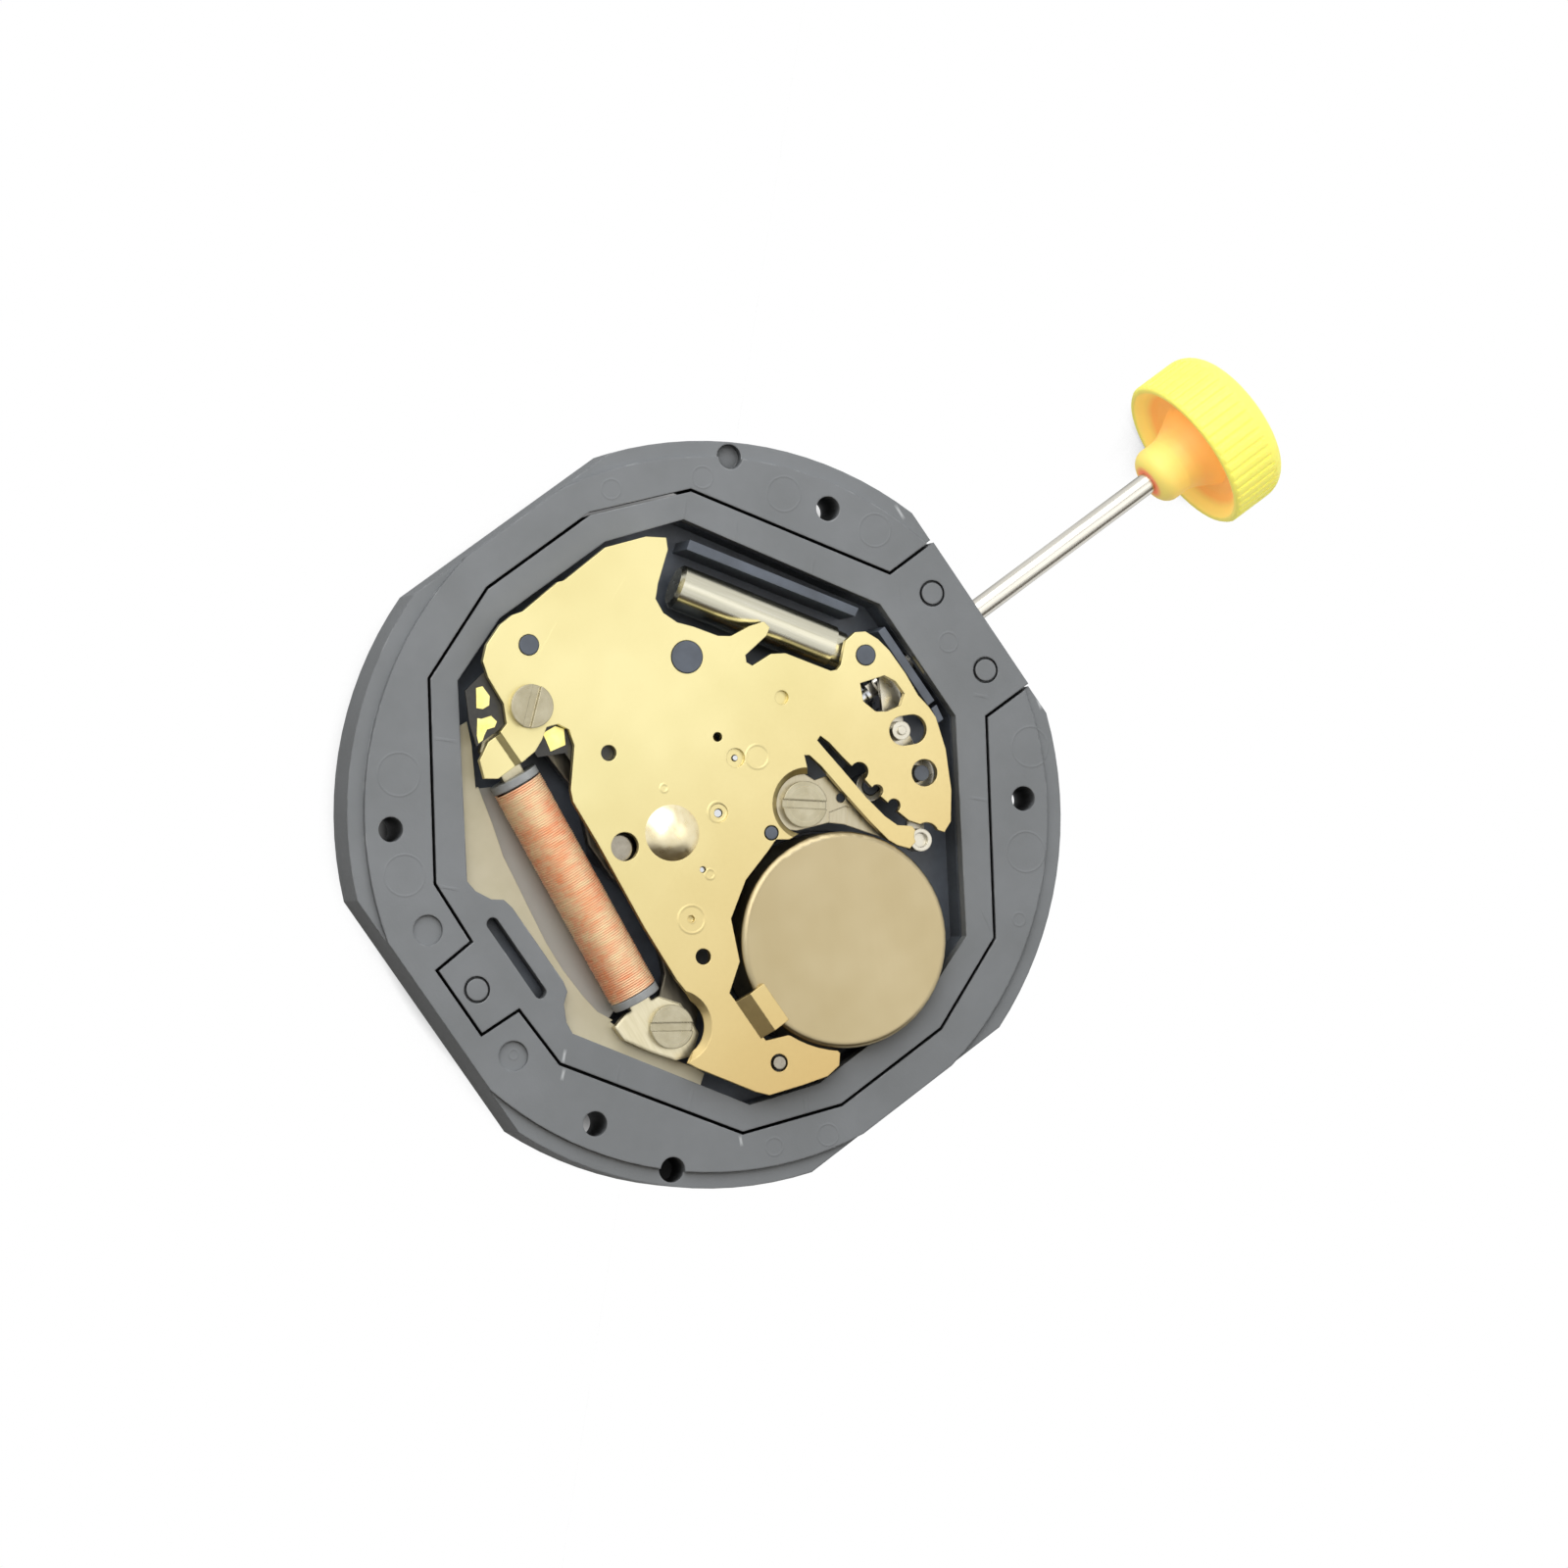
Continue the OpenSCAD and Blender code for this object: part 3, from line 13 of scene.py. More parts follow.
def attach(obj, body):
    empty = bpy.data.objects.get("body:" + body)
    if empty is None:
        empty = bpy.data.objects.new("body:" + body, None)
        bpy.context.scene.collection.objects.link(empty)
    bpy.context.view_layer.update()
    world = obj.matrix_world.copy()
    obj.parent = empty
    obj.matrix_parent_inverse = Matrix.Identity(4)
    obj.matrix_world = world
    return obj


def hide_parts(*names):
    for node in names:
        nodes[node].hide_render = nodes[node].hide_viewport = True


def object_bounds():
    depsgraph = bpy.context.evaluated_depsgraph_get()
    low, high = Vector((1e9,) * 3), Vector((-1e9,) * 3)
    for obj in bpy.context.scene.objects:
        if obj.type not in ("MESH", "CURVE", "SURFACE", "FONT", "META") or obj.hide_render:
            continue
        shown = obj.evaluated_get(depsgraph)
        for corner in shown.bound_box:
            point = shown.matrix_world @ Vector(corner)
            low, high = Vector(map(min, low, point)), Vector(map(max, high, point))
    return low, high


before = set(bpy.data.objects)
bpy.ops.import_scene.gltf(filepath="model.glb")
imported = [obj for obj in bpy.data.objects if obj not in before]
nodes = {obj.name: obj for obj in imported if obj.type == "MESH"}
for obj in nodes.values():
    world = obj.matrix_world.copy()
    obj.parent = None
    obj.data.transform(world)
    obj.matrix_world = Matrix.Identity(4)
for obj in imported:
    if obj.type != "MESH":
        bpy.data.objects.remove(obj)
cad_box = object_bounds()
MM = 0.001


# Camera: a 138 mm lens about 190 mm away, solved from the ring's measured corners

SENSOR_WIDTH = 36
FOCAL_LENGTH = 137.78
NEAREST, FARTHEST = 0.01, 2
RIGHT = Vector((0.76977755, -0.55638080, 0.31286247))
UP = Vector((0.57608872, 0.81664370, 0.03485466))
BACK = Vector((-0.27488963, 0.15340621, 0.94915869))
EYE = Vector((-49.340, 28.311, 180.790)) * MM


def place_camera():
    lens = bpy.data.cameras.new("photo_camera")
    lens.sensor_width = SENSOR_WIDTH
    lens.lens = FOCAL_LENGTH
    lens.clip_start = NEAREST
    lens.clip_end = FARTHEST
    camera = bpy.data.objects.new("photo_camera", lens)
    bpy.context.scene.collection.objects.link(camera)
    turned = Matrix((RIGHT, UP, BACK)).transposed().to_4x4()
    camera.matrix_world = Matrix.Translation(EYE) @ turned
    bpy.context.scene.camera = camera


place_camera()


# Materials

def linear(hex_colour):
    """An sRGB colour such as "#8a8c8d" in linear light."""
    parts = [int(hex_colour[i:i + 2], 16) / 255 for i in (1, 3, 5)]
    return tuple(c / 12.92 if c <= 0.04045 else ((c + 0.055) / 1.055) ** 2.4 for c in parts) + (1,)


def add(tree, kind, inputs=None, **settings):
    """A node of that kind. An input is a value or the output socket that feeds it."""
    node = tree.nodes.new(kind)
    for name, value in settings.items():
        setattr(node, name, value)
    for name, value in (inputs or {}).items():
        if isinstance(value, bpy.types.NodeSocket):
            tree.links.new(value, node.inputs[name])
        else:
            node.inputs[name].default_value = value
    return node


def per_mm(size):
    """Noise scale, in repeats a metre, whose features are that many millimetres across."""
    return 1000 / size


def start(name):
    material = bpy.data.materials.new(name)
    material.use_nodes = True
    tree = material.node_tree
    tree.nodes.clear()
    place = add(tree, "ShaderNodeTexCoord").outputs["Object"]
    return material, tree, place


def finish(tree, shader):
    add(tree, "ShaderNodeOutputMaterial", {"Surface": shader.outputs[0]})


def surface(tree, inputs):
    """Finish the material with one shader of those inputs."""
    finish(tree, add(tree, "ShaderNodeBsdfPrincipled", inputs))


def axis(tree, place, letter):
    """X, Y or Z of the place."""
    return add(tree, "ShaderNodeSeparateXYZ", {"Vector": place}).outputs[letter]


def vectors(tree, operation, a, b=(0, 0, 0), result="Vector"):
    return add(tree, "ShaderNodeVectorMath", {0: a, 1: b}, operation=operation).outputs[result]


def flattened(tree, place):
    """The place seen from above, without its height."""
    return vectors(tree, "MULTIPLY", place, (1, 1, 0))


def away_from(tree, flat, x, y):
    """Distance from the upright line through x and y, in metres."""
    return vectors(tree, "DISTANCE", flat, (x * MM, y * MM, 0), "Value")


def speckle(tree, place, size, detail=2.0, rough=0.6):
    return add(tree, "ShaderNodeTexNoise", {"Vector": place, "Scale": per_mm(size),
                                            "Detail": detail, "Roughness": rough}).outputs["Fac"]


def grooves(tree, along, size):
    """Noise in one direction only, such as a lathe tool leaves."""
    return add(tree, "ShaderNodeTexNoise", {"W": along, "Scale": per_mm(size), "Detail": 2.0},
               noise_dimensions="1D").outputs["Fac"]


def ramp(tree, amount, stops):
    """The colour at that amount, between stops of position and colour."""
    node = add(tree, "ShaderNodeValToRGB", {"Fac": amount})
    spots = node.color_ramp.elements
    for spot, (position, colour) in ((spots[0], stops[0]), (spots[1], stops[-1])):
        spot.position = position
        spot.color = linear(colour)
    for position, colour in stops[1:-1]:
        spots.new(position).color = linear(colour)
    return node.outputs["Color"]


def between(tree, amount, low, high, start_at=0.3, end_at=0.7):
    return ramp(tree, amount, [(start_at, low), (end_at, high)])


def span(tree, amount, low, high, start_at=0.3, end_at=0.7):
    return add(tree, "ShaderNodeMapRange", {
        "Value": amount, "From Min": start_at, "From Max": end_at,
        "To Min": low, "To Max": high}).outputs["Result"]


def maths(tree, operation, a, b=0.0):
    return add(tree, "ShaderNodeMath", {0: a, 1: b}, operation=operation).outputs["Value"]


def stretched(tree, place, along, turn=0.0):
    """Coordinates whose features are that many times as long in the direction of turn."""
    return add(tree, "ShaderNodeMapping", {"Vector": place, "Scale": (along, 1, 1),
                                           "Rotation": (0, 0, math.radians(turn))},
               vector_type="TEXTURE").outputs["Vector"]


def tinted(tree, colour, tint, amount):
    """Colour drawn towards tint by amount."""
    node = add(tree, "ShaderNodeMix", {"Factor": amount}, data_type="RGBA")
    tree.links.new(colour, node.inputs[6])
    node.inputs[7].default_value = linear(tint)
    return node.outputs[2]


def soft_edge(tree, radius):
    """The small radius that a mould or a press leaves along every edge."""
    return add(tree, "ShaderNodeBevel", {"Radius": radius * MM}, samples=4).outputs["Normal"]


def bumped(tree, height, depth, normal=None):
    inputs = {"Height": height, "Distance": depth * MM, "Strength": 1.0}
    if normal:
        inputs["Normal"] = normal
    return add(tree, "ShaderNodeBump", inputs).outputs["Normal"]


def edge_mask(tree, rounded):
    """1 on the rounded edges, 0 on the faces."""
    true = add(tree, "ShaderNodeNewGeometry").outputs["Normal"]
    same = vectors(tree, "DOT_PRODUCT", true, rounded, "Value")
    return span(tree, same, 0, 1, 0.995, 0.8)


def painted_hollow_shade(tree, reach, start_at, end_at):
    """Painted shade: 1 in holes and seams narrower than about reach, 0 on open faces."""
    open_air = add(tree, "ShaderNodeAmbientOcclusion", {"Distance": reach * MM}, samples=6)
    return span(tree, open_air.outputs["AO"], 1, 0, start_at, end_at)


def ring_lines(tree, place, rings, width):
    """Height of a fine line round each ring of x, y and radius."""
    flat = flattened(tree, place)
    height = None
    for x, y, r in rings:
        off = maths(tree, "ABSOLUTE", maths(tree, "SUBTRACT", away_from(tree, flat, x, y), r * MM))
        line = span(tree, off, 1, 0, 0, width * MM)
        height = line if height is None else maths(tree, "MAXIMUM", height, line)
    return height


def strokes(tree, place, lines, width):
    """1 on each straight line from x, y to x, y, 0 beside it."""
    mask = None
    for x0, y0, x1, y1 in lines:
        half = math.hypot(x1 - x0, y1 - y0) / 2
        local = add(tree, "ShaderNodeMapping", {
            "Vector": place, "Location": ((x0 + x1) / 2 * MM, (y0 + y1) / 2 * MM, 0),
            "Rotation": (0, 0, math.atan2(y1 - y0, x1 - x0)), "Scale": (half * MM, width * MM, 1)},
            vector_type="TEXTURE").outputs["Vector"]
        size = vectors(tree, "ABSOLUTE", local)
        farther = maths(tree, "MAXIMUM", axis(tree, size, "X"), axis(tree, size, "Y"))
        on = span(tree, farther, 1, 0, 0.3, 1)
        mask = on if mask is None else maths(tree, "MAXIMUM", mask, on)
    return mask


# Faint rings that ejector pins leave on the two grey rings: x, y and radius
PIN_MARKS = [
    (-7.55, 6.83, 0.67), (-9.21, 4.2, 0.64), (5.91, 8.74, 0.34), (3.23, 10.12, 0.31),
    (7.82, 6.8, 0.55), (9.65, 4.16, 0.52), (9.93, -4.41, 0.64), (7.83, -7.02, 0.64),
    (6.38, -8.63, 0.21), (-2.8, -10.38, 0.34), (-4.45, -9.63, 0.28), (9.6, -0.12, 0.31),
    (-9.59, -2.33, 0.15)]
# Witness lines of the mould's inserts across the inner ring: x, y to x, y
INSERT_LINES = [
    (5.1, 8.55, 4.51, 7.9), (6.04, 7.05, 5.67, 6.48), (7.55, 4.7, 6.95, 4.1),
    (9.43, 2.73, 9.06, 1.77), (-6.03, 7.13, -5.41, 6.55), (-8.56, 3.34, -8.03, 2.8),
    (7.23, -4.46, 7.78, -5.0), (9.29, -1.91, 9.7, -2.35), (5.57, -7.55, 5.37, -8.55),
    (-5.47, -6.53, -6.03, -7.03), (-7.04, -4.56, -7.57, -5.08), (-2.7, -8.86, -3.03, -9.53)]
# Short pale scuffs on the two grey rings: x, y to x, y
NICKS = [
    (-8.16, -3.14, -8.52, -3.48), (-8.54, -3.61, -8.85, -3.88), (10.74, 4.43, 10.72, 3.84),
    (11.07, -3.3, 10.98, -3.7), (-5.15, -8.66, -5.31, -9.0)]
# Rings and dots that the press leaves on the train bridge: x, y and radius
PRESS_MARKS = [
    (2.07, 0.7, 0.37), (-2.65, -2.17, 0.43), (-2.65, -2.17, 0.1), (0.0, 0.05, 0.31),
    (-0.99, 1.66, 0.12), (-1.34, -1.38, 0.15)]
# Millimetres of open air below which a plastic hollow is painted dark as shade, and the shares of
# it between which it does so
SHADE_REACH, SHADE_DARK, SHADE_OPEN = 1.2, 0.12, 0.42


def spark_grained_acetal():
    # Grey acetal moulded in a spark-eroded tool: an even matt grey with a fine grain, slightly
    # cloudy, with the faint rings of the ejector pins, a few pale scuffs, edges painted pale in
    # patches as a highlight, and seams and holes painted dark as shade
    material, tree, place = start("spark_grained_acetal")
    cloud = speckle(tree, place, 2.5, 3)
    grain = speckle(tree, place, 0.09, 2)
    rounded = soft_edge(tree, 0.07)
    # Painted highlight: the rounded edges tinted pale in patches
    patchy = span(tree, speckle(tree, place, 0.9, 3), 0, 0.5, 0.52, 0.66)
    rub_and_sheen = maths(tree, "MULTIPLY", edge_mask(tree, rounded), patchy)
    scuffs = maths(tree, "MULTIPLY", strokes(tree, place, NICKS, 0.06), 0.7)
    pale = maths(tree, "MAXIMUM", rub_and_sheen, scuffs)
    marks = maths(tree, "MAXIMUM", ring_lines(tree, place, PIN_MARKS, 0.05),
                  strokes(tree, place, INSERT_LINES, 0.06))
    normal = bumped(tree, marks, 0.01, bumped(tree, grain, 0.003, rounded))
    grey = tinted(tree, between(tree, cloud, "#828587", "#8b8e91"), "#d5d8da", pale)
    # Seams and holes are painted near black as shade
    surface(tree, {
        "Base Color": tinted(tree, grey, "#101112",
                             painted_hollow_shade(tree, SHADE_REACH, SHADE_DARK, SHADE_OPEN)),
        "Roughness": span(tree, grain, 0.5, 0.62), "IOR": 1.48, "Specular IOR Level": 0.3,
        "Normal": normal})
    return material


def glass_filled_nylon():
    # Glass-filled nylon in dark slate: painted nearly black in the hollows as shade, a bluish sheen
    # on top
    material, tree, place = start("glass_filled_nylon")
    cloud = speckle(tree, place, 1.2, 3)
    fibres = speckle(tree, stretched(tree, place, 4, 20), 0.06, 2)
    normal = bumped(tree, fibres, 0.0015, soft_edge(tree, 0.05))
    # Hollows painted near black as shade
    surface(tree, {
        "Base Color": tinted(tree, between(tree, cloud, "#4d535c", "#626a76"), "#0b0b0d",
                             painted_hollow_shade(tree, SHADE_REACH, SHADE_DARK, SHADE_OPEN)),
        "Roughness": span(tree, fibres, 0.34, 0.46), "IOR": 1.53, "Normal": normal})
    return material


def polyester_film():
    # Matt polyester film: milky beige where it lies flat, greyer where it is bent down lower,
    # with faint creases
    material, tree, place = start("polyester_film")
    height = axis(tree, place, "Z")
    cloud = speckle(tree, place, 1.6, 3)
    crease = speckle(tree, stretched(tree, place, 5, 100), 0.5, 2)
    lying = span(tree, height, 1, 0, 1.25 * MM, 1.4 * MM)
    surface(tree, {
        "Base Color": tinted(tree, between(tree, cloud, "#c0b796", "#ccc3a6"), "#a5a29a", lying),
        "Roughness": span(tree, crease, 0.32, 0.46), "IOR": 1.64, "Coat Weight": 0.3,
        "Coat Roughness": 0.2, "Normal": bumped(tree, crease, 0.008, soft_edge(tree, 0.04))})
    return material


def pale_gilding():
    # Brass stamped flat and plated in pale gold: frosted satin, a little cloudy, with the faint
    # rings and dots of the press tools and a few handling scratches
    material, tree, place = start("pale_gilding")
    cloud = speckle(tree, place, 3.5, 2)
    frost = speckle(tree, place, 0.1, 2)
    scratch = speckle(tree, stretched(tree, place, 30, 25), 0.14, 1.0)
    fine = span(tree, scratch, 0, 1, 0.72, 0.76)
    marks = ring_lines(tree, place, PRESS_MARKS, 0.06)
    # Painted shade and warm reflection: darker and redder towards the battery's foot
    foot_painted_shade = span(tree, axis(tree, place, "Y"), 1, 0, -9 * MM, 3 * MM)
    normal = bumped(tree, marks, 0.012, bumped(tree, frost, 0.0012, soft_edge(tree, 0.04)))
    surface(tree, {
        "Base Color": tinted(tree, between(tree, cloud, "#d8cc94", "#e2d7a1"), "#c6ab74", foot_painted_shade),
        "Metallic": 1.0, "Roughness": span(tree, frost, 0.34, 0.42),
        "Normal": bumped(tree, fine, 0.0012, normal)})
    return material


def polished_gilding():
    # The same plating on a polished dome: a mirror with a warm tint and a trace of haze
    material, tree, place = start("polished_gilding")
    haze = speckle(tree, place, 0.3, 2)
    surface(tree, {
        "Base Color": between(tree, haze, "#eadcb2", "#f6ebc8"), "Metallic": 1.0,
        "Roughness": span(tree, haze, 0.26, 0.34)})
    return material


def cell_nickel():
    # Nickel-plated stainless steel of a button cell: smooth champagne satin, lightly rubbed
    material, tree, place = start("cell_nickel")
    cloud = speckle(tree, place, 2.6, 2)
    rub_and_sheen = speckle(tree, stretched(tree, place, 12, 60), 0.16, 2)
    rounded = soft_edge(tree, 0.1)
    chips = span(tree, speckle(tree, place, 0.22, 3), 0, 0.6, 0.66, 0.7)
    # The rim is tinted pale as a painted highlight, and chipped dark in places
    painted_rim_highlight = edge_mask(tree, rounded)
    colour = tinted(tree, between(tree, cloud, "#ab9c78", "#b3a583"), "#f1ecdd", painted_rim_highlight)
    surface(tree, {
        "Base Color": tinted(tree, colour, "#4d4739", maths(tree, "MULTIPLY", chips, painted_rim_highlight)),
        "Metallic": 1.0, "Roughness": span(tree, rub_and_sheen, 0.28, 0.31),
        "Normal": bumped(tree, rub_and_sheen, 0.0001, rounded)})
    return material


def enamelled_copper():
    # Fine enamelled copper wire: salmon pink, with paler bands where the tension changed
    material, tree, place = start("enamelled_copper")
    band = speckle(tree, stretched(tree, place, 5, -5.7), 0.16, 3)
    patch = speckle(tree, place, 1.1, 2)
    half = maths(tree, "MULTIPLY", maths(tree, "ADD", band, patch), 0.5)
    surface(tree, {
        "Base Color": between(tree, half, "#ffab7e", "#ffdfb6", 0.36, 0.6), "Metallic": 0.3,
        "Roughness": 0.42, "IOR": 1.5, "Coat Weight": 0.3, "Coat Roughness": 0.3})
    return material


def frosted_nylon():
    # Undyed grey nylon of the bobbin: soft, slightly see-through at its thin edges
    material, tree, place = start("frosted_nylon")
    cloud = speckle(tree, place, 0.5, 2)
    surface(tree, {
        "Base Color": between(tree, cloud, "#9a9c9c", "#adb0b0"), "Roughness": 0.42, "IOR": 1.53,
        "Subsurface Weight": 0.2, "Subsurface Radius": (0.4 * MM, 0.4 * MM, 0.45 * MM),
        "Normal": soft_edge(tree, 0.06)})
    return material


def annealed_iron(name, low, high, turn):
    # Nickel-flashed soft iron sheet: satin, with faint rolling lines
    material, tree, place = start(name)
    rolled = speckle(tree, stretched(tree, place, 10, turn), 0.16, 3)
    surface(tree, {
        "Base Color": between(tree, rolled, low, high), "Metallic": 1.0,
        "Roughness": span(tree, rolled, 0.28, 0.38), "Normal": soft_edge(tree, 0.12)})
    return material


def turned_nickel(centre, name):
    # Nickel-plated screw steel, faced on a lathe: fine rings round its own centre
    material, tree, place = start(name)
    rings = grooves(tree, away_from(tree, flattened(tree, place), *centre), 0.1)
    dull = speckle(tree, place, 0.5, 2)
    surface(tree, {
        "Base Color": between(tree, dull, "#a49c82", "#b5ae96"), "Metallic": 1.0,
        "Roughness": span(tree, rings, 0.26, 0.36),
        "Normal": bumped(tree, rings, 0.0006, soft_edge(tree, 0.06))})
    return material


def satin_nickel():
    # Nickel-plated sheet steel: warm satin with a faint one-way grain
    material, tree, place = start("satin_nickel")
    grain = speckle(tree, stretched(tree, place, 12, 50), 0.14, 3)
    surface(tree, {
        "Base Color": between(tree, grain, "#a9a087", "#bab29a"), "Metallic": 1.0,
        "Roughness": span(tree, grain, 0.26, 0.36), "Normal": soft_edge(tree, 0.05)})
    return material


def hardened_steel(name, low, high):
    # Hardened and tumbled steel: warm grey satin with soft clouds
    material, tree, place = start(name)
    grain = speckle(tree, place, 0.35, 3)
    surface(tree, {
        "Base Color": between(tree, grain, low, high), "Metallic": 1.0,
        "Roughness": span(tree, grain, 0.24, 0.34), "Normal": soft_edge(tree, 0.05)})
    return material


def drawn_steel():
    # Ground and polished stem steel: long bright streaks along the stem
    material, tree, place = start("drawn_steel")
    streak = speckle(tree, stretched(tree, place, 50), 0.1, 3)
    surface(tree, {
        "Base Color": between(tree, streak, "#cfcbc0", "#e2dfd6"), "Metallic": 1.0,
        "Roughness": span(tree, streak, 0.2, 0.26)})
    return material


STEM_HEIGHT = 0.9 * MM
# Where the knob's painted orange glow comes and goes: along the stem at its inner and outer end,
# and out from it. Then the redder painted shade where the stem goes in, along it and out from it
GLOW_STARTS, GLOW_ENDS = (18.1 * MM, 20.1 * MM), (20.9 * MM, 21.5 * MM)
GLOW_WITHIN = (2.0 * MM, 2.56 * MM)
STEM_SHADE_ALONG, STEM_SHADE_WITHIN = (18.7 * MM, 19.1 * MM), (0.42 * MM, 0.66 * MM)


def yellow_polyethylene():
    # Bright yellow polyethylene: waxy and see-through, its hollow painted orange as glow and shade
    material, tree, place = start("yellow_polyethylene")
    cloud = speckle(tree, place, 1.5, 2)
    grain = speckle(tree, place, 0.12, 2)
    out = axis(tree, place, "X")
    off_stem = add(tree, "ShaderNodeCombineXYZ", {
        "Y": axis(tree, place, "Y"),
        "Z": maths(tree, "SUBTRACT", axis(tree, place, "Z"), STEM_HEIGHT)}).outputs["Vector"]
    radius = vectors(tree, "LENGTH", off_stem, result="Value")
    within = span(tree, radius, 1, 0, *GLOW_WITHIN)
    along = maths(tree, "MULTIPLY", span(tree, out, 0, 1, *GLOW_STARTS),
                  span(tree, out, 1, 0, *GLOW_ENDS))
    # Painted glow and shade: orange in the knob's hollow
    painted_hollow_glow = maths(tree, "MULTIPLY", along, within)
    uneven = maths(tree, "MULTIPLY", maths(tree, "SUBTRACT", cloud, 0.5), 0.25)
    glow = maths(tree, "ADD", painted_hollow_glow, uneven)
    # Painted shade: redder round the stem where it goes in
    stem_painted_shade = maths(tree, "MULTIPLY", span(tree, radius, 1, 0, *STEM_SHADE_WITHIN),
                    span(tree, out, 1, 0, *STEM_SHADE_ALONG))
    yellow = tinted(tree, ramp(tree, glow, [(0.0, "#fff773"), (0.3, "#ffe57c"), (0.7, "#ffd672"),
                                            (1.0, "#ffba62")]), "#ff8a60", stem_painted_shade)
    # Light soaking through the thin walls is too slow to trace, so the plastic gives some itself
    surface(tree, {
        "Base Color": yellow, "Roughness": 0.5, "IOR": 1.51,
        "Subsurface Weight": 0.35, "Subsurface Radius": (1.4 * MM, 0.8 * MM, 0.15 * MM),
        "Emission Color": yellow, "Emission Strength": 0.42,
        "Normal": bumped(tree, grain, 0.002, soft_edge(tree, 0.12))})
    return material


def plated_can():
    # Nickel-plated can of the crystal: nearly a mirror, with stretch lines along its length
    material, tree, place = start("plated_can")
    streak = speckle(tree, stretched(tree, place, 30, -55.9), 0.16, 2)
    surface(tree, {
        "Base Color": between(tree, streak, "#c4c0ab", "#d6d3c2"), "Metallic": 1.0,
        "Roughness": span(tree, streak, 0.2, 0.28)})
    return material


def dark_board():
    # Black-masked circuit board: dark and a little glossy, with the weave just felt
    material, tree, place = start("dark_board")
    weave = speckle(tree, place, 0.25, 2)
    surface(tree, {
        "Base Color": between(tree, weave, "#24231f", "#34322c"), "Roughness": 0.34, "IOR": 1.55,
        "Normal": bumped(tree, weave, 0.003)})
    return material


def soft_gold():
    # Gold-plated contact pads: bright yellow, softly dimpled
    material, tree, place = start("soft_gold")
    dimple = speckle(tree, place, 0.35, 2)
    surface(tree, {
        "Base Color": between(tree, dimple, "#fbe98a", "#fff6a4"), "Metallic": 1.0,
        "Roughness": span(tree, dimple, 0.26, 0.34), "Normal": bumped(tree, dimple, 0.004)})
    return material


def black_epoxy():
    # Potting epoxy over the chip: black, wavy and glossy
    material, tree, place = start("black_epoxy")
    wave = speckle(tree, place, 0.7, 2)
    surface(tree, {
        "Base Color": between(tree, wave, "#121214", "#1e1e21"), "Roughness": 0.2, "IOR": 1.55,
        "Normal": bumped(tree, wave, 0.02)})
    return material


def stamped_brass(name, low, high, roughness):
    # Brass: stamped wheels and turned bushes, yellow with a dull bloom
    material, tree, place = start(name)
    bloom = speckle(tree, place, 0.4, 3)
    surface(tree, {
        "Base Color": between(tree, bloom, low, high), "Metallic": 1.0,
        "Roughness": span(tree, bloom, roughness, roughness + 0.12),
        "Normal": soft_edge(tree, 0.02)})
    return material


def turned_steel():
    # Pinion steel, turned and burnished: cool grey and bright, with faint turning lines
    material, tree, place = start("turned_steel")
    ring = grooves(tree, axis(tree, place, "Z"), 0.04)
    surface(tree, {
        "Base Color": between(tree, ring, "#b4b7bb", "#cdd0d3"), "Metallic": 1.0,
        "Roughness": span(tree, ring, 0.16, 0.28), "Normal": soft_edge(tree, 0.015)})
    return material


def ivory_acetal():
    # Undyed acetal of the minute wheel: ivory, waxy
    material, tree, place = start("ivory_acetal")
    cloud = speckle(tree, place, 0.5, 2)
    surface(tree, {
        "Base Color": between(tree, cloud, "#dcd8cb", "#ebe8de"), "Roughness": 0.4, "IOR": 1.48,
        "Subsurface Weight": 0.25, "Subsurface Radius": (0.3 * MM, 0.3 * MM, 0.25 * MM)})
    return material


def sintered_magnet():
    # Sintered samarium-cobalt: dark grey and granular
    material, tree, place = start("sintered_magnet")
    grit = speckle(tree, place, 0.05, 3)
    surface(tree, {
        "Base Color": between(tree, grit, "#494b4f", "#5d6064"), "Metallic": 0.8,
        "Roughness": span(tree, grit, 0.4, 0.55), "Normal": bumped(tree, grit, 0.004)})
    return material


def black_seal():
    # Black nylon seal of the cell: dull
    material, tree, place = start("black_seal")
    dust = speckle(tree, place, 0.15, 2)
    surface(tree, {
        "Base Color": between(tree, dust, "#1c1d1f", "#2a2b2d"), "Roughness": 0.55, "IOR": 1.53})
    return material


ring_acetal = spark_grained_acetal()
plate_nylon = glass_filled_nylon()
film = polyester_film()
gilding = pale_gilding()
dome_gilding = polished_gilding()
cell_steel = cell_nickel()
copper = enamelled_copper()
bobbin_nylon = frosted_nylon()
core_iron = annealed_iron("annealed_iron", "#c9c0a0", "#dcd4b8", 84)
# The stator is the core's iron darkened, as painted shade
stator_iron_painted_shade = annealed_iron("iron_painted_shade", "#6b665a", "#7d776a", 70)
nickel = satin_nickel()
lever_steel = hardened_steel("hardened_lever_steel", "#bcb7a8", "#d0ccbe")
# The pins are the lever's steel darkened, as painted shade
pin_steel_painted_shade = hardened_steel("hardened_pin_steel", "#8b8578", "#a29c8f")
stem_steel = drawn_steel()
knob_plastic = yellow_polyethylene()
can_nickel = plated_can()
board = dark_board()
gold = soft_gold()
epoxy = black_epoxy()
wheel_brass = stamped_brass("stamped_wheel_brass", "#cfae5c", "#e2c679", 0.24)
bush_brass = stamped_brass("turned_bush_brass", "#c9a653", "#d9ba6e", 0.2)
pinion_steel = turned_steel()
ivory = ivory_acetal()
magnet = sintered_magnet()
seal = black_seal()

